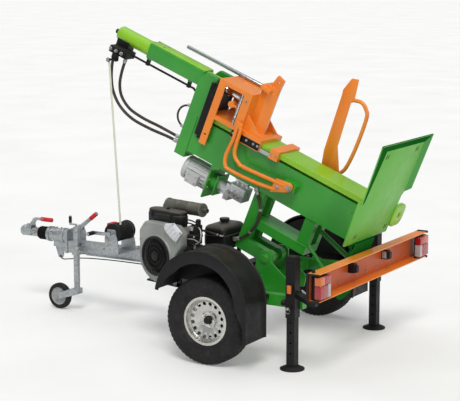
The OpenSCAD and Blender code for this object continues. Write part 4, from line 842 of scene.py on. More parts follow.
def head_cover():
    """Cast cover of the near cylinder head: a five-sided rim, a raised middle with fins, and its bolts."""
    outline = [(89, 240), (189, 256), (269, 197), (204, 120), (99, 190)]
    middle = Vector((174, 203))
    at = FAN + FRONT * 64
    inner = [middle + (Vector(p) - middle) * 0.8 for p in outline]
    shape = Shape(ENGINE)
    shape.plate(outline, at, X, Z, 15.5, 4, 3)
    shape.plate(inner, at + FRONT * 14, X, Z, 6.5, 3, 2)
    rib = [Vector(p) for p in ((-33.6, -25.6), (-32, -28.8), (33.6, 24), (32, 27.2))]
    for k in (-1, 0, 1):
        spot = middle + Vector((-19.6, 25.2)) * k
        shape.plate([spot + p for p in rib], at + FRONT * 20, X, Z, 4.5, 0.8, 1)
    shape.done("head_cover", "trailer", HEAD, "bright_alloy", ["cylinder_cover"])
    bolts = Shape(ENGINE)
    for p in outline:
        spot = middle + (Vector(p) - middle) * 0.87
        bolts.bolt(at + X * spot.x + Z * spot.y + FRONT * 15.4, FRONT, 9)
    bolts.done("head_cover_bolts", "trailer", BOLTS, "galvanised")


blower()
fan()
head_cover()


def oval(length, r, z, count=12):
    """Ring of a long oval in the ground plane."""
    right = [(length / 2 + x, y) for x, y in arc(r, -90, 90, count)]
    left = [(-length / 2 + x, y) for x, y in arc(r, 90, 270, count)]
    return [Vector((x, y, z)) for x, y in right + left]


def air_cleaner():
    """Oval cover with its knob and two clips."""
    base = Vector((-20, -70, DECK + 402))
    steps = [(55, 0), (56, 10), (58.5, 13), (60, 17), (60, 68), (59, 73), (56, 76), (55.2, 77.5), (55.2, 88),
             (54, 95), (50, 101), (42, 104), (30, 105.5), (12, 106)]
    shell = Shape(ENGINE).loft([[base + p for p in oval(230, r, z)] for r, z in steps])
    shell.done("air_cleaner_shell", "trailer", COVER, "black_plastic", ["air_cleaner"])
    knob = Shape(ENGINE)
    knob.lathe([(0, 104), (11, 104), (12, 107), (11.6, 115), (8, 118), (0, 118)], base, Z, 30,
               swell=lambda r, a: r * (1 + 0.05 * math.cos(10 * a)))
    knob.done("air_cleaner_knob", "trailer", PLASTIC, "black_plastic")
    clips = Shape(ENGINE)
    for x in (-95, 95):
        clips.box(base + Vector((x - 11, -62.5, 48)), base + Vector((x + 11, -58.5, 84)), 1.5)
    clips.done("air_cleaner_clips", "trailer", RUBBER, "black_plastic")


air_cleaner()


def rounded_ring(x0, x1, y0, y1, r, z):
    """Rectangle with round corners, as one ring at height z."""
    left, right, low, high = x0 + r, x1 - r, y0 + r, y1 - r
    ring = []
    for cx, cy, start in ((right, high, 0), (left, high, 90), (left, low, 180), (right, low, 270)):
        ring += [Vector((cx + x, cy + y, z)) for x, y in arc(r, start, start + 90, 6)]
    return ring


def cap_grip(r, angle):
    """Flutes round the widest part of the tank's cap."""
    return r - (1.4 if r > 34.5 and int(angle * 36 / math.pi) % 2 else 0)


def fuel_tank():
    """Moulded tank on a tray, with four legs down to the deck and the frame."""
    x0, x1, y0, y1, z0 = -412.0, -225.0, -215.0, 93.0, 650.0
    steps = [(26, 0), (12, 4), (4, 12), (0, 24), (0, 88), (4, 92), (4, 98), (0, 102), (1, 120), (4, 135),
             (10, 147), (20, 155), (36, 160)]
    rings = []
    for inset, h in steps:
        corner = max(46 - inset * 0.5, 16)
        rings.append(rounded_ring(x0 + inset, x1 - inset, y0 + inset, y1 - inset, corner, z0 + h))
    shape = Shape().loft(rings)
    cap = [(0, 0), (42, 0), (42, 5), (28, 7), (28, 15), (35, 16), (36, 20), (36, 35), (32, 39), (14, 40.5),
           (0, 40.5)]
    shape.lathe(cap, ((x0 + x1) / 2, (y0 + y1) / 2, z0 + 157), Z, 72, swell=cap_grip)
    shape.box((x0 + 5, y0 + 5, z0 - 10), (x1 - 5, y1 - 5, z0 + 2), 2)
    for y in (y0 + 25, y0 + 125):
        shape.box((x0 + 5, y - 12, DECK), (x0 + 29, y + 12, z0 - 1), 2)
    for y in (y0 + 25, y1 - 23):
        shape.box((x1 - 64, y - 12, RAIL_TOP), (x1 - 40, y + 12, z0 - 1), 2)
    shape.done("moulded_tank", "trailer", COVER, "black_plastic", ["fuel_tank"])


fuel_tank()


def muffler():
    """Seamed can with two rolled bands, its tail pipe, and the bend up from the engine."""
    y, z = 55.0, DECK + 510
    bands = [(r, start + h) for start in (112, 228) for r, h in ((46, 0), (47.2, 2), (47.2, 8), (46, 10))]
    front = [(0, -4), (38, -4), (45, -1), (49, 2), (49, 8), (46, 10)]
    tail = [(46, 340), (49, 342), (49, 350), (45, 353), (36, 354), (16, 354), (16, 395), (13, 395), (13, 372),
            (0, 372)]
    shape = Shape(ENGINE).lathe(front + bands + tail, (-150, y, z), X, 44)
    bend = [(-190, y, z - 54), (-190, y, z - 26), (-184, y, z - 8), (-168, y, z), (-144, y, z)]
    shape.tube(smooth(bend, 5), 16, 20)
    shape.lathe([(0, 0), (27, 0), (27, 8), (0, 8)], (-190, y, z - 54), Z, 30)
    shape.done("muffler_can", "trailer", MUFFLER, "grey_casting", ["muffler"])


muffler()


def engine_fittings():
    """Carburettor, governor rods, leads and oil filler in the gap between the fan cover and the tank."""
    dark = Shape()
    dark.box((-322, -588, 626), (-222, -500, 738), 8, 3)
    dark.box((-306, -594, 742), (-228, -500, 812), 6, 3)
    dark.box((-298, -566, 806), (-232, -490, 872), 8, 3)
    dark.lathe([(0, 0), (26, 0), (28, 3), (28, 16), (22, 20), (0, 20)], (-266, -586, 684), FRONT, 30)
    dark.lathe([(0, 0), (17, 0), (18, 4), (18, 40), (12, 46), (0, 46)], (-250, -520, 866), Z, 24)
    for start, height in ((-500, 880), (-490, 902)):
        lead = [(-236, start, 790), (-226, -522, 830), (-236, -548, height - 20), (-276, -552, height),
                (-330, -540, height + 4)]
        dark.tube(smooth(lead, 6), 5, 10)
    dark.done("engine_dark_fittings", "trailer", RUBBER, "black_plastic")
    bright = Shape()
    bright.box((-292, -578, 838), (-258, -560, 868), 3)
    pipe = [(-236, -548, 862), (-212, -556, 846), (-196, -572, 806), (-206, -582, 764), (-246, -590, 748)]
    bright.tube(smooth(pipe, 6), 5, 10)
    bright.tube([(-300, -598, 786), (-236, -598, 786), (-206, -592, 770)], 3.5, 8)
    bright.tube(coil((-232, -596, 690), 6, 0.9, 0.9, 60), 1.6, 6)
    for x, y, z in ((-312, -588, 640), (-236, -588, 640), (-312, -588, 724), (-236, -588, 724),
                    (-298, -594, 802), (-238, -594, 802)):
        bright.bolt((x, y, z), FRONT, 9)
    bright.done("engine_bright_fittings", "trailer", BOLTS, "galvanised")
    low = Shape(ENGINE)
    low.lathe([(0, 0), (19, 0), (20, 3), (20, 16), (17, 18), (0, 18)], (-120, -134, 500), FRONT, 26)
    drain = [(96, -140, 470), (92, -196, 474), (78, -214, 462), (64, -206, 446), (66, -160, 440)]
    low.tube(smooth(drain, 6), 7, 12)
    low.bolts((-120, -60, 60, 120), [-141], [DECK], Z, 10)
    low.done("engine_drain_fittings", "trailer", BOLTS, "galvanised")


engine_fittings()


def fuel_hose():
    """Hose from the outlet in the tank's near face, along the tank, to the carburettor."""
    points = [(-258, -232, 750), (-300, -234, 758), (-345, -237, 768), (-385, -246, 776), (-418, -268, 780),
              (-441, -305, 778), (-455, -350, 770), (-464, -397, 760)]
    r = 8.0
    line = smooth(points, 8)
    cover = Shape().tube(line, r, 16).done("fuel_hose_cover", "trailer", HOSE, "black_rubber")
    clips = Shape()
    for i in (3, len(line) - 6):
        way = (line[i + 1] - line[i - 1]).normalized()
        clips.lathe([(r + 0.2, -5), (r + 1.8, -5), (r + 1.8, 5), (r + 0.2, 5)], line[i], way, 24, closed=True)
    clips.tube(smooth([(-238, -211, 747), (-238, -222, 747), (-245, -231, 748), (-264, -232, 751)], 6), 6, 14)
    clips.done("fuel_hose_clips", "trailer", BOLTS, "galvanised")


fuel_hose()


# Drop legs, light bar and lamps

LEG_X, LEG_Y, SLEEVE_HALF, SLEEVE_TOP = 545.0, 625.0, 35.0, 755.0
BAR_X, BAR_END, BAR_Z, BAR_H, BAR_D, BAR_T = 768.0, 853.0, 527.0, 184.0, 82.0, 6.0


def leg_trim(name, side):
    """Plastic cap, locking knob, pin with its ring, and the marker lamp on a sleeve."""
    y = side * LEG_Y
    face = y + side * SLEEVE_HALF
    knob_at = (LEG_X - SLEEVE_HALF, y, 440)
    trim = Shape()
    trim.box((LEG_X - 29, y - 29, SLEEVE_TOP - 6), (LEG_X + 29, y + 29, SLEEVE_TOP + 6), 5, 3)
    trim.rod(knob_at, -X, 12, 20)
    trim.lathe([(0, 18), (17, 18), (20, 22), (20, 40), (15, 46), (0, 46)], knob_at, -X, 30,
               swell=lambda r, a: r * (1 + 0.06 * math.cos(7 * a)))
    trim.box((LEG_X - 20, face, 513), (LEG_X + 20, face + side * 9, 577), 3, 3)
    trim.done(name + "_trim", "trailer", PLASTIC, "black_plastic")
    marker = Shape().box((LEG_X - 16, face + side * 8, 517), (LEG_X + 16, face + side * 22, 573), 5, 4)
    pin = Shape()
    pin.rod((LEG_X, face - side * 10, 420), Y * side, 9, 52)
    ring_at = Vector((LEG_X, face + side * 34, 404))
    pin.tube([ring_at + spoke(a, 16) for a in turns(24)[:-1]], 2, 8)
    pin.done(name + "_pin", "trailer", BOLTS, "galvanised")
    return marker.done(name + "_marker", "trailer", AMBER_LENS, "lamp_amber")


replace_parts(leg_trim("leg_near", -1), "side_markers")
leg_trim("leg_far", 1)


def light_bar_trim():
    """Caps on the bar's ends, the panel inside its channel, and the panel's bolts."""
    caps = Shape()
    for side in (-1, 1):
        # the near end turns between the arms of the leg's sleeve, so its caps stay flush above and below
        over = 1.5 if side < 0 else 8
        start, end = side * (BAR_END - 10), side * (BAR_END + 5)
        for z0, z1 in ((-over, 10), (BAR_H - 10, BAR_H + over)):
            caps.box((BAR_X + 8, start, BAR_Z + z0), (BAR_X + BAR_D + 7, end, BAR_Z + z1), 5, 4)
        caps.box((BAR_X - 4, start, BAR_Z - 1.5), (BAR_X + 12, end, BAR_Z + BAR_H + 1.5), 4, 3)
    caps.done("light_bar_caps", "light_gate", PLASTIC, "black_plastic")
    panel = Shape().box((BAR_X + BAR_T - 1, -BAR_END + 6, BAR_Z + BAR_T + 3),
                        (BAR_X + BAR_T + 1.5, BAR_END - 6, BAR_Z + BAR_H - BAR_T - 3), 0.5, 1)
    panel.done("light_bar_panel", "light_gate", DEEP_ORANGE, "orange_paint")
    rivets = Shape()
    rivets.bolts([BAR_X + BAR_T + 1.5], (-640, -420, -150, 0, 150, 420, 640), [BAR_Z + 40], X, 11)
    rivets.done("light_bar_bolts", "light_gate", BOLTS, "galvanised")


light_bar_trim()


def tail_lamp(name, side):
    """Rear lamp: black tray, amber flasher in the outer corner, red tail and brake lenses, clear window."""
    x = BAR_X + BAR_D - 2
    outer, inner = side * (BAR_END - 8), side * (BAR_END - 146)
    z0, z1 = BAR_Z + 18, BAR_Z + BAR_H - 18
    foot = inner + side * 20
    tray = Shape().box((x - 36, outer, z0), (x + 3, inner, z1), 5, 3)
    tray.box((x - 36, foot - 10, BAR_Z + BAR_T), (x - 30, foot + 10, z0 + 4), 1)
    tray_piece = tray.done(name + "_tray", "light_gate", PLASTIC, "black_plastic")
    # the lenses lap over the tray's ends
    outer, inner = outer + side * 2, inner - side * 2
    gap = 0.6
    split_z = z0 + (z1 - z0) * 0.6
    upper, lower = (split_z + gap, z1 - 3), (z0 + 3, split_z - gap)

    def part(start, end, low, high):
        """Lens between two shares of the width, counted from the outer end."""
        a, b = outer + (inner - outer) * start, outer + (inner - outer) * end
        return Shape().box((x - 28, a - side * gap, low), (x + 18, b + side * gap, high), 4, 3)

    part(0, 0.42, *upper).done(name + "_flasher", "light_gate", AMBER_LENS, "lamp_amber")
    part(0.42, 1, *upper).done(name + "_brake", "light_gate", RED_LENS, "lamp_red")
    part(0, 0.76, *lower).done(name + "_tail", "light_gate", RED_LENS, "lamp_red")
    part(0.76, 1, *lower).done(name + "_window", "light_gate", CLEAR_LENS, "lamp_red")
    screws = Shape()
    for y in (outer - side * 8, inner + side * 8):
        screws.lathe([(0, 0), (4, 0), (4, 1.5), (2.6, 3), (0, 3)], (x + 16.5, y, z0 + 15), X, 12)
    screws.done(name + "_screws", "light_gate", BOLTS, "galvanised")
    return tray_piece


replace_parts(tail_lamp("tail_lamp_near", -1), "tail_lamps")
tail_lamp("tail_lamp_far", 1)


def plate_lamp_windows():
    """Clear windows in the two lamps that light the number plate."""
    windows = Shape()
    for side in (-1, 1):
        windows.box((BAR_X + 14, side * 236, BAR_Z + 90), (BAR_X + 46, side * 231, BAR_Z + 138), 2, 2)
    windows.done("plate_lamp_windows", "light_gate", CLEAR_LENS, "lamp_red")


plate_lamp_windows()


# Drawbar, overrun gear, jockey wheel and winch

COUP_Z, HOUSING_X, BELLOWS_L, DRAW_TRAVEL = 560.0, -1945.0, 90.0, 70.0
JOCKEY_X, JOCKEY_Y = joint_at("jockey_steer").xy
# the handbrake lever's reach along the drawbar, drawn out along its slope
BRAKE_LEVER = 145 * 1.268


def bellows():
    """Rubber gaiter round the draw tube, with a mesh of its own."""
    ribs, inner, outer = 7, 38.0, 51.5
    pitch = (BELLOWS_L - 8) / ribs
    fold = [(inner, 0.08), (outer - 2, 0.36), (outer, 0.5), (outer - 2, 0.64), (inner, 0.92)]
    folds = [(r, 4 + (i + share) * pitch) for i in range(ribs) for r, share in fold]
    collar = [(32, 0.6), (47, 0.6), (48, 2), (48, 5), (44, 6)]
    profile = collar + folds + [(r, BELLOWS_L - h) for r, h in reversed(collar)]
    end = Vector((HOUSING_X, 0, COUP_Z))
    gaiter = Shape().lathe(profile, end, -X, 48, closed=True)
    piece = gaiter.done("gaiter", "trailer", RUBBER, "black_rubber", ["bellows"])
    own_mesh(piece)


bellows()


def grips():
    """Red hand grips of the coupling and the handbrake."""
    lever = joint_at("coupling_handle_lift") + Vector((100, 0, 54))
    ribs = [(r, h + i * 10.5) for i in range(9) for r, h in ((17.2, 6), (16.2, 13))]
    profile = [(0, -2), (15, -2), (17, 2)] + ribs + [(17, 104), (14, 107), (0, 107)]
    Shape().lathe(profile, lever, X, 28).done("coupling_grip", "coupling_handle", RED_GRIP, "black_plastic")
    way = Vector((1, 0, 0.78))
    start, end = BRAKE_LEVER * 0.70, BRAKE_LEVER * 1.1
    ribs = [(r, start + h + i * 7) for i in range(7) for r, h in ((17.4, 8), (16.2, 11))]
    profile = [(0, start), (16, start), (17.4, start + 3)] + ribs + [(17.4, end - 6), (15, end), (0, end)]
    brake = Shape().lathe(profile, joint_at("handbrake_pull"), way, 26)
    brake.done("handbrake_grip", "handbrake", RED_GRIP, "black_plastic")


grips()


def jockey_wheel():
    """Solid tyre on a moulded disc, with its axle nuts, and the grip and clamp of the stem."""
    centre = joint_at("jockey_roll")
    tread = mirror([(68, -21), (74, -23.5), (88, -24), (95, -21), (99, -14), (100, -6)])
    tyre = Shape().lathe(tread, centre, Y, 60, closed=True)
    tyre.done("jockey_tyre", "jockey_roller", TYRE, "tyre_rubber", ["jockey_wheel"])
    web = [(9.2, -24), (26, -24), (30, -21), (33, -14), (60, -12), (66, -20), (71, -22), (72, -19), (69, -8)]
    disc = Shape().lathe(mirror(web), centre, Y, 54, closed=True)
    for a in turns(6):
        for side in (-1, 1):
            disc.bolt(centre + spoke(a, 46) + Y * side * 12.4, Y * side, 8)
    disc.done("jockey_disc", "jockey_roller", PALE_PLASTIC, "galvanised")
    nuts = Shape()
    for side in (-1, 1):
        nuts.bolt(centre + Y * side * 34.2, Y * side, 17)
    nuts.done("jockey_nuts", "jockey_swivel", BOLTS, "galvanised")
    handle = [(0, 30), (10.5, 30), (12, 36), (12, 74), (9, 84), (0, 84)]
    grip = Shape().lathe(handle, (JOCKEY_X - 54, JOCKEY_Y, 652), Z, 24)
    grip.done("jockey_crank_grip", "jockey_stem", PLASTIC, "black_plastic")
    clamp = Shape()
    clamp.rod((JOCKEY_X + 20, JOCKEY_Y - 10, 472), (1, -0.6, 0), 8, 46)
    clamp.rod((JOCKEY_X + 52, JOCKEY_Y - 60, 472), (0.5, 0.86, 0), 6, 70)
    clamp.done("jockey_clamp_bolt", "trailer", BOLTS, "galvanised")


jockey_wheel()


def drawbar_fittings():
    """Bolts of the overrun gear, winch frame and drawbar, and the brake cable along it."""
    bolts = Shape()
    bolts.bolts([-1764], (-38, 38), [460], -X, 15)
    bolts.bolts([-1762], (-38, 38), [590], -X, 15)
    bolts.bolts((-1900, -1830), [0], [COUP_Z + 52], Z, 13)
    bolts.bolts((-1190, -1122), (-250, -40, 20), [536], Z, 13)
    bolts.bolts((-1600, -1400, -1000, -840), [-45], [505], FRONT, 15)
    bolts.done("drawbar_bolts", "trailer", BOLTS, "galvanised")
    cross = Shape()
    for side in (-1, 1):
        cross.bolt((-2075, side * 35.4, COUP_Z), Y * side, 15)
    cross.done("coupling_bolts", "drawtube", BOLTS, "galvanised")
    cable = smooth([(-1840, -12, 398), (-1800, -30, 380), (-1720, -52, 392), (-1560, -54, 415),
                    (-1300, -54, 425), (-1000, -54, 426), (-780, -54, 430)], 8)
    r = 4.0
    piece = Shape().tube(cable, r, 10).done("brake_cable", "trailer", RUBBER, "black_rubber")


drawbar_fittings()

WINCH = joint_at("winch_turn") * Vector((1, 0, 1))
WINCH_Y0, WINCH_Y1 = -270.0, -70.0


def gear_teeth(r, angle):
    """Square teeth round the winch's gear."""
    return r + (4 if r > 60 and int(angle * 48 / math.pi) % 2 else 0)


def winch():
    """Drum with its wound turns, gear, pawl cover and the crank's grip."""
    at = WINCH + Y * WINCH_Y0
    width = WINCH_Y1 - WINCH_Y0
    half = [(9.4, 0.5), (66, 0.5), (71, 2), (72, 5), (72, 12), (70, 15), (61, 16)]
    drum = Shape().lathe(mirror(half, width), at, Y, 64, closed=True)
    drum.done("winch_drum", "trailer", BLACK, "black_paint", ["winch_case"])
    coils, steps = 13, 36
    line = []
    for i in range(coils * steps + 1):
        along = 20 + (width - 40) * i / (coils * steps)
        line.append(at + Y * along + spoke(2 * math.pi * i / steps, 62.5))
    Shape().tube(line, 6, 8).done("winch_turns", "trailer", RUBBER, "rope_fibre")
    gear = Shape()
    gear.lathe([(20, -1), (66, -1), (66, 1), (20, 1)], at + Y * (width - 20), Y, 96, closed=True,
               swell=gear_teeth)
    gear.box(at + Vector((-58, -16, -70)), at + Vector((-30, -9, -30)), 2)
    gear.done("winch_gear", "trailer", BOLTS, "galvanised")
    pawl = Shape().box(at + Vector((-70, 30, 40)), at + Vector((-34, 120, 66)), 6, 3)
    pawl.done("winch_pawl_cover", "trailer", RED_GRIP, "black_plastic")
    handle = [(0, 0), (13, 0), (15.5, 4), (16, 20), (14.5, 40), (16, 60), (14, 68), (0, 70)]
    grip = Shape().lathe(handle, at + Vector((-136, -48, 0)), FRONT, 26)
    grip.done("winch_grip", "crank", PLASTIC, "black_plastic")


winch()


# Column: arms, fittings, bolts and weld seams

ARM_Y, ARM_R = 180.5, 14.0
LUG_S, LUG_N = joint_at("control_arm_fold", COLUMN).xz
FAR_S, FAR_N = joint_at("holding_arm_fold", COLUMN).xz


def control_arm():
    """Two bent tubes between end plates, on a pin at the column's near side."""
    y = -ARM_Y
    outer = [(-528, 795), (-524, 680), (-534, 560), (-515, 490), (-464, 470), (-250, 482), (-90, 508)]
    inner = [(-494, 783), (-488, 660), (-474, 590), (-427, 552), (-360, 540), (-40, 566)]
    top = [(-546, 778), (-488, 770), (-492, 812), (-540, 818)]
    foot = [(-120, 478), (6, 536), (24, 552), (30, 571), (24, 590), (6, 604), (-110, 586)]
    shape = Shape(COLUMN)
    for line in (outer, inner):
        shape.tube(smooth([(s, y, n) for s, n in line], 8), ARM_R, 20)
    for outline in (top, foot):
        shape.plate(outline, (0, y + ARM_R - 3, 0), X, Z, 2 * ARM_R - 6, 3)
    shape.rod((LUG_S, -112, LUG_N), FRONT, 12, ARM_Y - 112)
    shape.done("control_arm_tubes", "near_arm", ORANGE, "orange_paint", ["control_arm"])
    pins = Shape(COLUMN)
    pins.lathe([(0, 0), (20, 0), (20, 18), (18, 21), (0, 24)], (LUG_S, y, LUG_N), FRONT, 34)
    pins.bolt((LUG_S, y - 22, LUG_N), FRONT, 19)
    pins.lathe([(0, 0), (12, 0), (12, 20), (10, 22), (0, 22)], (LUG_S - 80, y, LUG_N - 34), FRONT, 28)
    pins.bolt((LUG_S - 80, y - 20, LUG_N - 34), FRONT, 13)
    pins.done("control_arm_pins", "near_arm", BOLTS, "galvanised")


def holding_arm():
    """Cut plate with a bent guard tube beside it, on a pin at the column's far side."""
    y = ARM_Y
    outline = [(20, 690), (60, 625), (130, 625), (170, 700), (80, 880), (55, 1195), (68, 1250), (47, 1375),
               (-4, 1360), (-36, 1262), (-30, 1226), (-6, 814)]
    loop = [(52, 1222), (122, 1236), (172, 1206), (200, 1146), (206, 920), (190, 760), (150, 700)]
    shape = Shape(COLUMN)
    shape.plate(outline, (0, y - ARM_R + 10, 0), X, Z, 10, 2.5)
    shape.tube(smooth([(s, y, n) for s, n in loop], 8), ARM_R, 20)
    shape.box((20, y - ARM_R + 5, 1205), (60, y + ARM_R, 1240), 2)
    shape.rod((FAR_S, 112, FAR_N), Y, 12, y - ARM_R - 111)
    shape.done("holding_arm_frame", "far_arm", ORANGE, "orange_paint", ["holding_arm"])
    pins = Shape(COLUMN)
    pins.lathe([(0, 0), (20, 0), (20, 8), (18, 11), (0, 13)], (FAR_S, y - 5, FAR_N), Y, 34)
    pins.bolt((FAR_S, y + 7, FAR_N), Y, 19)
    pins.done("holding_arm_pins", "far_arm", BOLTS, "galvanised")


control_arm()
holding_arm()

COL_HALF, COL_N0, COL_N1, COL_S0, PLATE_S = 110.0, 414.0, 674.0, -885.0, 550.0
CYL_N, MOTOR_N = 925.0, 268.0
HEAD_S0, HEAD_PLATE_S1 = -975.0, -796.7

# the base plate's panel and the flared lips round it, in Y and N
PLATE_EDGE, PANEL_S = 595.0, 573.0
PANEL = [(-284.4, 430), (373.1, 430), (386.8, 715), (412, 742), (404, 1130), (-204, 1130), (-234, 762),
         (-317.2, 762)]
TOP_LIP = [(-204, 1130), (404, 1130), (455, 1194), (-360, 1194)]
RIGHT_LIP = [(412, 742), (404, 1130), (455, 1194), (463, 770)]
LEFT_LIP = [(-234, 762), (-204, 1130), (-360, 1194), (-317.2, 762)]
# the lug beside it is a rounded square with an eye: middle, half sizes, and how square it is
TOW_LUG, TOW_HALF, TOW_SQUARE = (452.0, 548.0), (92.0, 84.0), 3.4
TOW_EYE, TOW_EYE_R = (462.0, 548.0), 19.0


def lip(shape, outline):
    """Sheet that rises from the panel's edge, its first two corners, to the plate's outline."""
    levels = (PANEL_S, PANEL_S, PLATE_EDGE, PLATE_EDGE)
    face = [Vector((s, y, n)) for s, (y, n) in zip(levels, outline)]
    return shape.loft([face, [p - X * 8 for p in face]])


def drawn_in(ring, middle, share):
    """Ring drawn in towards a point by a share of its size, or let out where that is below zero."""
    return [(y + (middle[0] - y) * share, n + (middle[1] - n) * share) for y, n in ring]


def tow_lug():
    """Lug beside the panel, with its towing eye."""
    edge, hole = [], []
    for a in turns(64):
        c, d = math.cos(a), math.sin(a)
        bulge = (abs(c) ** TOW_SQUARE + abs(d) ** TOW_SQUARE) ** (-1 / TOW_SQUARE)
        edge.append((TOW_LUG[0] + TOW_HALF[0] * bulge * c, TOW_LUG[1] + TOW_HALF[1] * bulge * d))
        hole.append((TOW_EYE[0] + TOW_EYE_R * c, TOW_EYE[1] + TOW_EYE_R * d))
    rings = [(edge, 558), (edge, 582), (drawn_in(edge, TOW_LUG, 0.04), 585),
             (drawn_in(hole, TOW_EYE, -0.15), 585), (hole, 582.5), (hole, 558)]
    lug = Shape(COLUMN).loft([[Vector((s, y, n)) for y, n in ring] for ring, s in rings], closed=True)
    # the lug is in the painted highlight green, for the light falling on it
    lug.done("plate_lug", "column", HIGHLIGHT_GREEN, "green_paint", sharp=45)


def base_plate():
    """Folded sheet: flat panel, three flared lips, a foot behind the column and a lug with a towing eye."""
    # the panel is in the painted light green, for the light falling full on it
    panel = Shape(COLUMN).plate(PANEL, (PANEL_S - 14, 0, 0), Y, Z, 14, 1.5)
    panel.done("plate_panel", "column", LIT_PANEL_GREEN, "green_paint", ["base_plate"])
    # the top and left lips are in the painted shade green, for the shade that lies on them; the right lip is
    # plain green
    dark = Shape(COLUMN)
    lip(dark, TOP_LIP)
    lip(dark, LEFT_LIP)
    dark.done("plate_lips", "column", PAINTED_SHADE_GREEN, "green_paint")
    lip(Shape(COLUMN), RIGHT_LIP).done("plate_right_lip", "column", GREEN, "green_paint")
    # the foot under the panel is in the painted shade green, for the shade below the plate
    foot = Shape(COLUMN)
    foot.box((PLATE_S - 2, -COL_HALF, 436), (PANEL_S - 12, COL_HALF, COL_N1), 2)
    sole = [(y, 120 + n) for y, n in arc(150, 180, 360, 40)] + [(150, 432), (-150, 432)]
    foot.plate(sole, (PLATE_EDGE - 18, 0, 0), Y, Z, 18, 2)
    foot.box((PLATE_S, -150, 390), (PLATE_EDGE - 4, 150, 432), 3)
    gusset = [(PLATE_S + 4, 430), (PLATE_EDGE - 8, 430), (PLATE_EDGE - 8, 90), (PLATE_EDGE - 30, 90)]
    for y in (-126, 126):
        foot.plate(gusset, (0, y + 5, 0), X, Z, 10, 1.5)
    foot.done("plate_foot", "column", PAINTED_SHADE_GREEN, "green_paint")
    # the rolled edge is in the painted light green too, a painted highlight along the plate's edge
    rim_s = PLATE_EDGE - 4
    rim = Shape(COLUMN)
    rim.tube([(rim_s, -317.2, 762), (rim_s, -356, 1190)], 4, 10)
    rim.tube([(rim_s, -356, 1190), (rim_s, 451, 1190), (rim_s, 459, 772)], 4, 10)
    rim.done("plate_rolled_edge", "column", LIT_PANEL_GREEN, "green_paint")
    tow_lug()
    # the slots are sunk black inserts: painted shade for the shade inside them
    slots = Shape(COLUMN)
    for y, n in ((-157, 1084), (315, 1088), (310, 484), (-164, 483)):
        for k in (-14, 14):
            slots.box((PANEL_S - 6, y + k - 5, n - 16), (PANEL_S + 0.6, y + k + 5, n + 16), 0.5, 1)
    slots.done("plate_slots", "column", RUBBER, "black_rubber")


base_plate()


def post_hose():
    """Return hose clipped to the near post, between a block under the column and one at the post's foot."""
    route = [(-22, 1068), (-13, 1030), (1, 985), (5, 938), (-5, 888), (-26, 840), (-58, 794), (-98, 756),
             (-142, 730), (-186, 716)]
    y, r = -114.0, 10.0
    line = smooth([(x, y, z) for x, z in route], 8)
    cover = Shape().tube(line, r, 18).done("post_hose_cover", "column", HOSE, "black_rubber")
    ends = Shape()
    for tip, inner in ((line[0], line[3]), (line[-1], line[-4])):
        way = (inner - tip).normalized()
        ends.box(tip - way * 14 - Vector((15, 11, 15)), tip - way * 14 + Vector((15, 15, 15)), 2.5)
        ends.lathe([(0, -2), (r + 1, -2), (r + 4, 1), (r + 4, 20), (r + 3, 24), (r + 0.4, 26)], tip, way, 28)
    unions = ends.done("post_hose_unions", "column", BOLTS, "galvanised")
    clips = Shape()
    for i in (24, 52):
        way = (line[i + 1] - line[i - 1]).normalized()
        clips.lathe([(r + 0.2, -8), (r + 2.4, -8), (r + 2.4, 8), (r + 0.2, 8)], line[i], way, 28, closed=True)
    clips.done("post_hose_clips", "column", BOLTS, "galvanised")


post_hose()


def column_fittings():
    """Bolts and unions along the column, and the pins at its head."""
    bolts = Shape(COLUMN)
    bolts.bolts([HEAD_PLATE_S1], (-121, 121), (575, 640, 720, 790, 860, 935), X, 15)
    bolts.bolts([HEAD_PLATE_S1], (-50, 50), (CYL_N - 48, CYL_N + 32), X, 15)
    bolts.bolts([-636], (-95, 95), (300, 240, 380), X, 13)
    for y, n in arc(60, 45, 315, 3):
        bolts.bolt((-882, y, MOTOR_N + n), -X, 10)
    bolts.bolts((-790, -726), [-126], (222, 270), FRONT, 8)
    bolts.bolts((-450, -410, -370), [-110], [298], FRONT, 22)
    bolts.bolt((-1662, -243, 777), FRONT, 17)
    bolts.bolts((-1740, -1690, -1640), [-132], [828], FRONT, 19)
    bolts.bolts((-1460, -1370), (-30, 30), [989], Z, 11)
    bolts.done("column_bolts", "column", BOLTS, "galvanised")
    pins = Shape(COLUMN)
    for s, n in ((-834, 958), (-812, 880)):
        pins.rod((s, -112, n), FRONT, 9, 30)
        pins.lathe([(0, 28), (14, 28), (14, 36), (11, 39), (0, 39)], (s, -112, n), FRONT, 24)
    pins.lathe([(0, 0), (18, 0), (18, 30), (13, 34), (0, 34)], (-1786, 0, CYL_N), -X, 34)
    pins.done("head_pins", "column", BLACK, "black_paint")


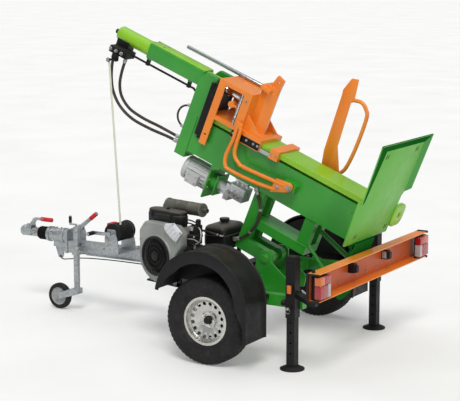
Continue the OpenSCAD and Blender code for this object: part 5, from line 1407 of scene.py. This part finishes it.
def weld_seams():
    """Beads along the seams that show on the painted frame."""
    seams = Shape(COLUMN)
    for y in (-COL_HALF, COL_HALF):
        out = math.copysign(1.5, y)
        seams.weld((PLATE_S - 1, y + out, COL_N0 + 18), (PLATE_S - 1, y + out, COL_N1))
        seams.weld((COL_S0, y + out, COL_N0), (COL_S0, y + out, COL_N1))
        for s in (-262, -182, 163, 247):
            seams.weld((s, y * 0.91, COL_N0 - 1), (s, y * 0.37, COL_N0 - 1))
        seams.weld((-262, y * 0.91 + out, COL_N0 - 2), (-182, y * 0.91 + out, COL_N0 - 2))
        seams.weld((163, y * 0.91 + out, COL_N0 - 2), (247, y * 0.91 + out, COL_N0 - 2))
        seams.weld((163, y * 0.91 + out, 218), (247, y * 0.91 + out, 218))
        seams.weld((HEAD_S0 + 2, y * 0.6, CYL_N - 68), (HEAD_S0 + 140, y * 0.6, CYL_N - 68))
    seams.weld((PLATE_S - 1, -COL_HALF, COL_N0 + 17), (PLATE_S - 1, COL_HALF, COL_N0 + 17))
    seams.done("column_welds", "column", GREEN, "green_paint")
    frame_seams = Shape()
    for y in (-530, 530):
        for x in (-40, 40):
            frame_seams.weld((x, y, 402), (x, y, 478))
        frame_seams.weld((-40, y, 481), (40, y, 481))
    for y in (-132, -116, 116, 132):
        frame_seams.weld((-38, y, 481), (38, y, 481), 4)
    frame_seams.done("frame_welds", "trailer", GREEN, "green_paint")
    carriage_seams = Shape(COLUMN)
    for side in (-1, 1):
        y = side * 46
        carriage_seams.weld((-509, y, 762), (-509, y, 1080), 5)
        carriage_seams.weld((-509, y, 761), (-461, y, 761), 4)
        carriage_seams.weld((-734, side * 138, 762), (-578, side * 138, 762), 4)
    carriage_seams.done("carriage_welds", "carriage", ORANGE, "orange_paint")


LOCK_ROD = Vector((-590, -138, 760))


def carriage_fittings():
    """Bolts of the slide, black plates over its cheeks that are painted shade, the lock rod with its spring,
    and the wedge's bright edge.
    """
    bolts, shade_plates = Shape(COLUMN), Shape(COLUMN)
    for side in (-1, 1):
        out = Y * side
        bolts.bolts((-555, -500, -440, -380, -345), [side * 151.5], [712], out, 13)
        bolts.bolts((-225, -185), [side * 150], [712], out, 11)
        bolts.bolts([-543], [side * 150], (800, 960), out, 13)
        # painted shade: thin black plates over the cheeks, for the shade under the base plate
        shade_plates.box((-574, side * 149.5, 681), (-331, side * 151.5, 733), 0.6, 1)
    bolts.bolts((-480, -380), (-100, 100), [760.5], Z, 15)
    bolts.done("carriage_bolts", "carriage", BOLTS, "galvanised")
    shade_plates.done("carriage_shade_plates", "carriage", BLACK, "black_paint")
    spring = Shape(COLUMN).rod(LOCK_ROD, Z, 9, 236)
    spring.tube(coil(LOCK_ROD + Z * 40, 13, 0.8, 1, 160), 2.2, 8)
    for height in (32, 202):
        spring.lathe([(9, 0), (17, 0), (17, 6), (9, 6)], LOCK_ROD + Z * height, Z, 28, closed=True)
    spring.done("lock_rod_spring", "carriage", BRIGHT, "chrome_rod")
    edge = Shape(COLUMN).plate([(-401, -3.4), (-393.6, 0), (-401, 3.4)], (0, 0, 764), X, Y, 336, 0.5, 1)
    edge.done("wedge_edge", "carriage", BRIGHT, "chrome_rod")


def housing():
    """Tube that carries the cylinder, a yellow-green strip on its top that is a painted highlight, pads for
    the return pipe, and the head's guard.
    """
    s0, s1, half, low, high = -1475.3, -975.3, 63.0, 866.0, 986.0
    rings = []
    for s, inset in ((s0, 3), (s0 + 3, 0), (s1 - 3, 0), (s1, 3)):
        flat = rounded_ring(-half + inset, half - inset, low + inset, high - inset, 16, 0)
        rings.append([Vector((s, p.x, p.y)) for p in flat])
    tube = Shape(COLUMN).loft(rings)
    for s in (-1460, -1080):
        tube.box((s - 14, -44, 855), (s + 14, -16, low + 2), 1)
    tube.done("housing_tube", "column", GREEN, "green_paint", ["cylinder_housing"])
    # painted highlight: a thin yellow-green strip along the tube's top, for the light on it
    highlight_strip = Shape(COLUMN).box((s0 + 4, -half + 6, high - 2), (s1 - 2, half - 6, high + 3), 1.2)
    highlight_strip.done("housing_painted_highlight", "column", HIGHLIGHT_GREEN, "lime_paint")
    guard = Shape(COLUMN).box((-858, -131, 562), (-830, -COL_HALF - 0.5, 962), 3)
    guard.done("head_guard", "column", BLACK, "black_paint")


housing()
column_fittings()
weld_seams()
carriage_fittings()
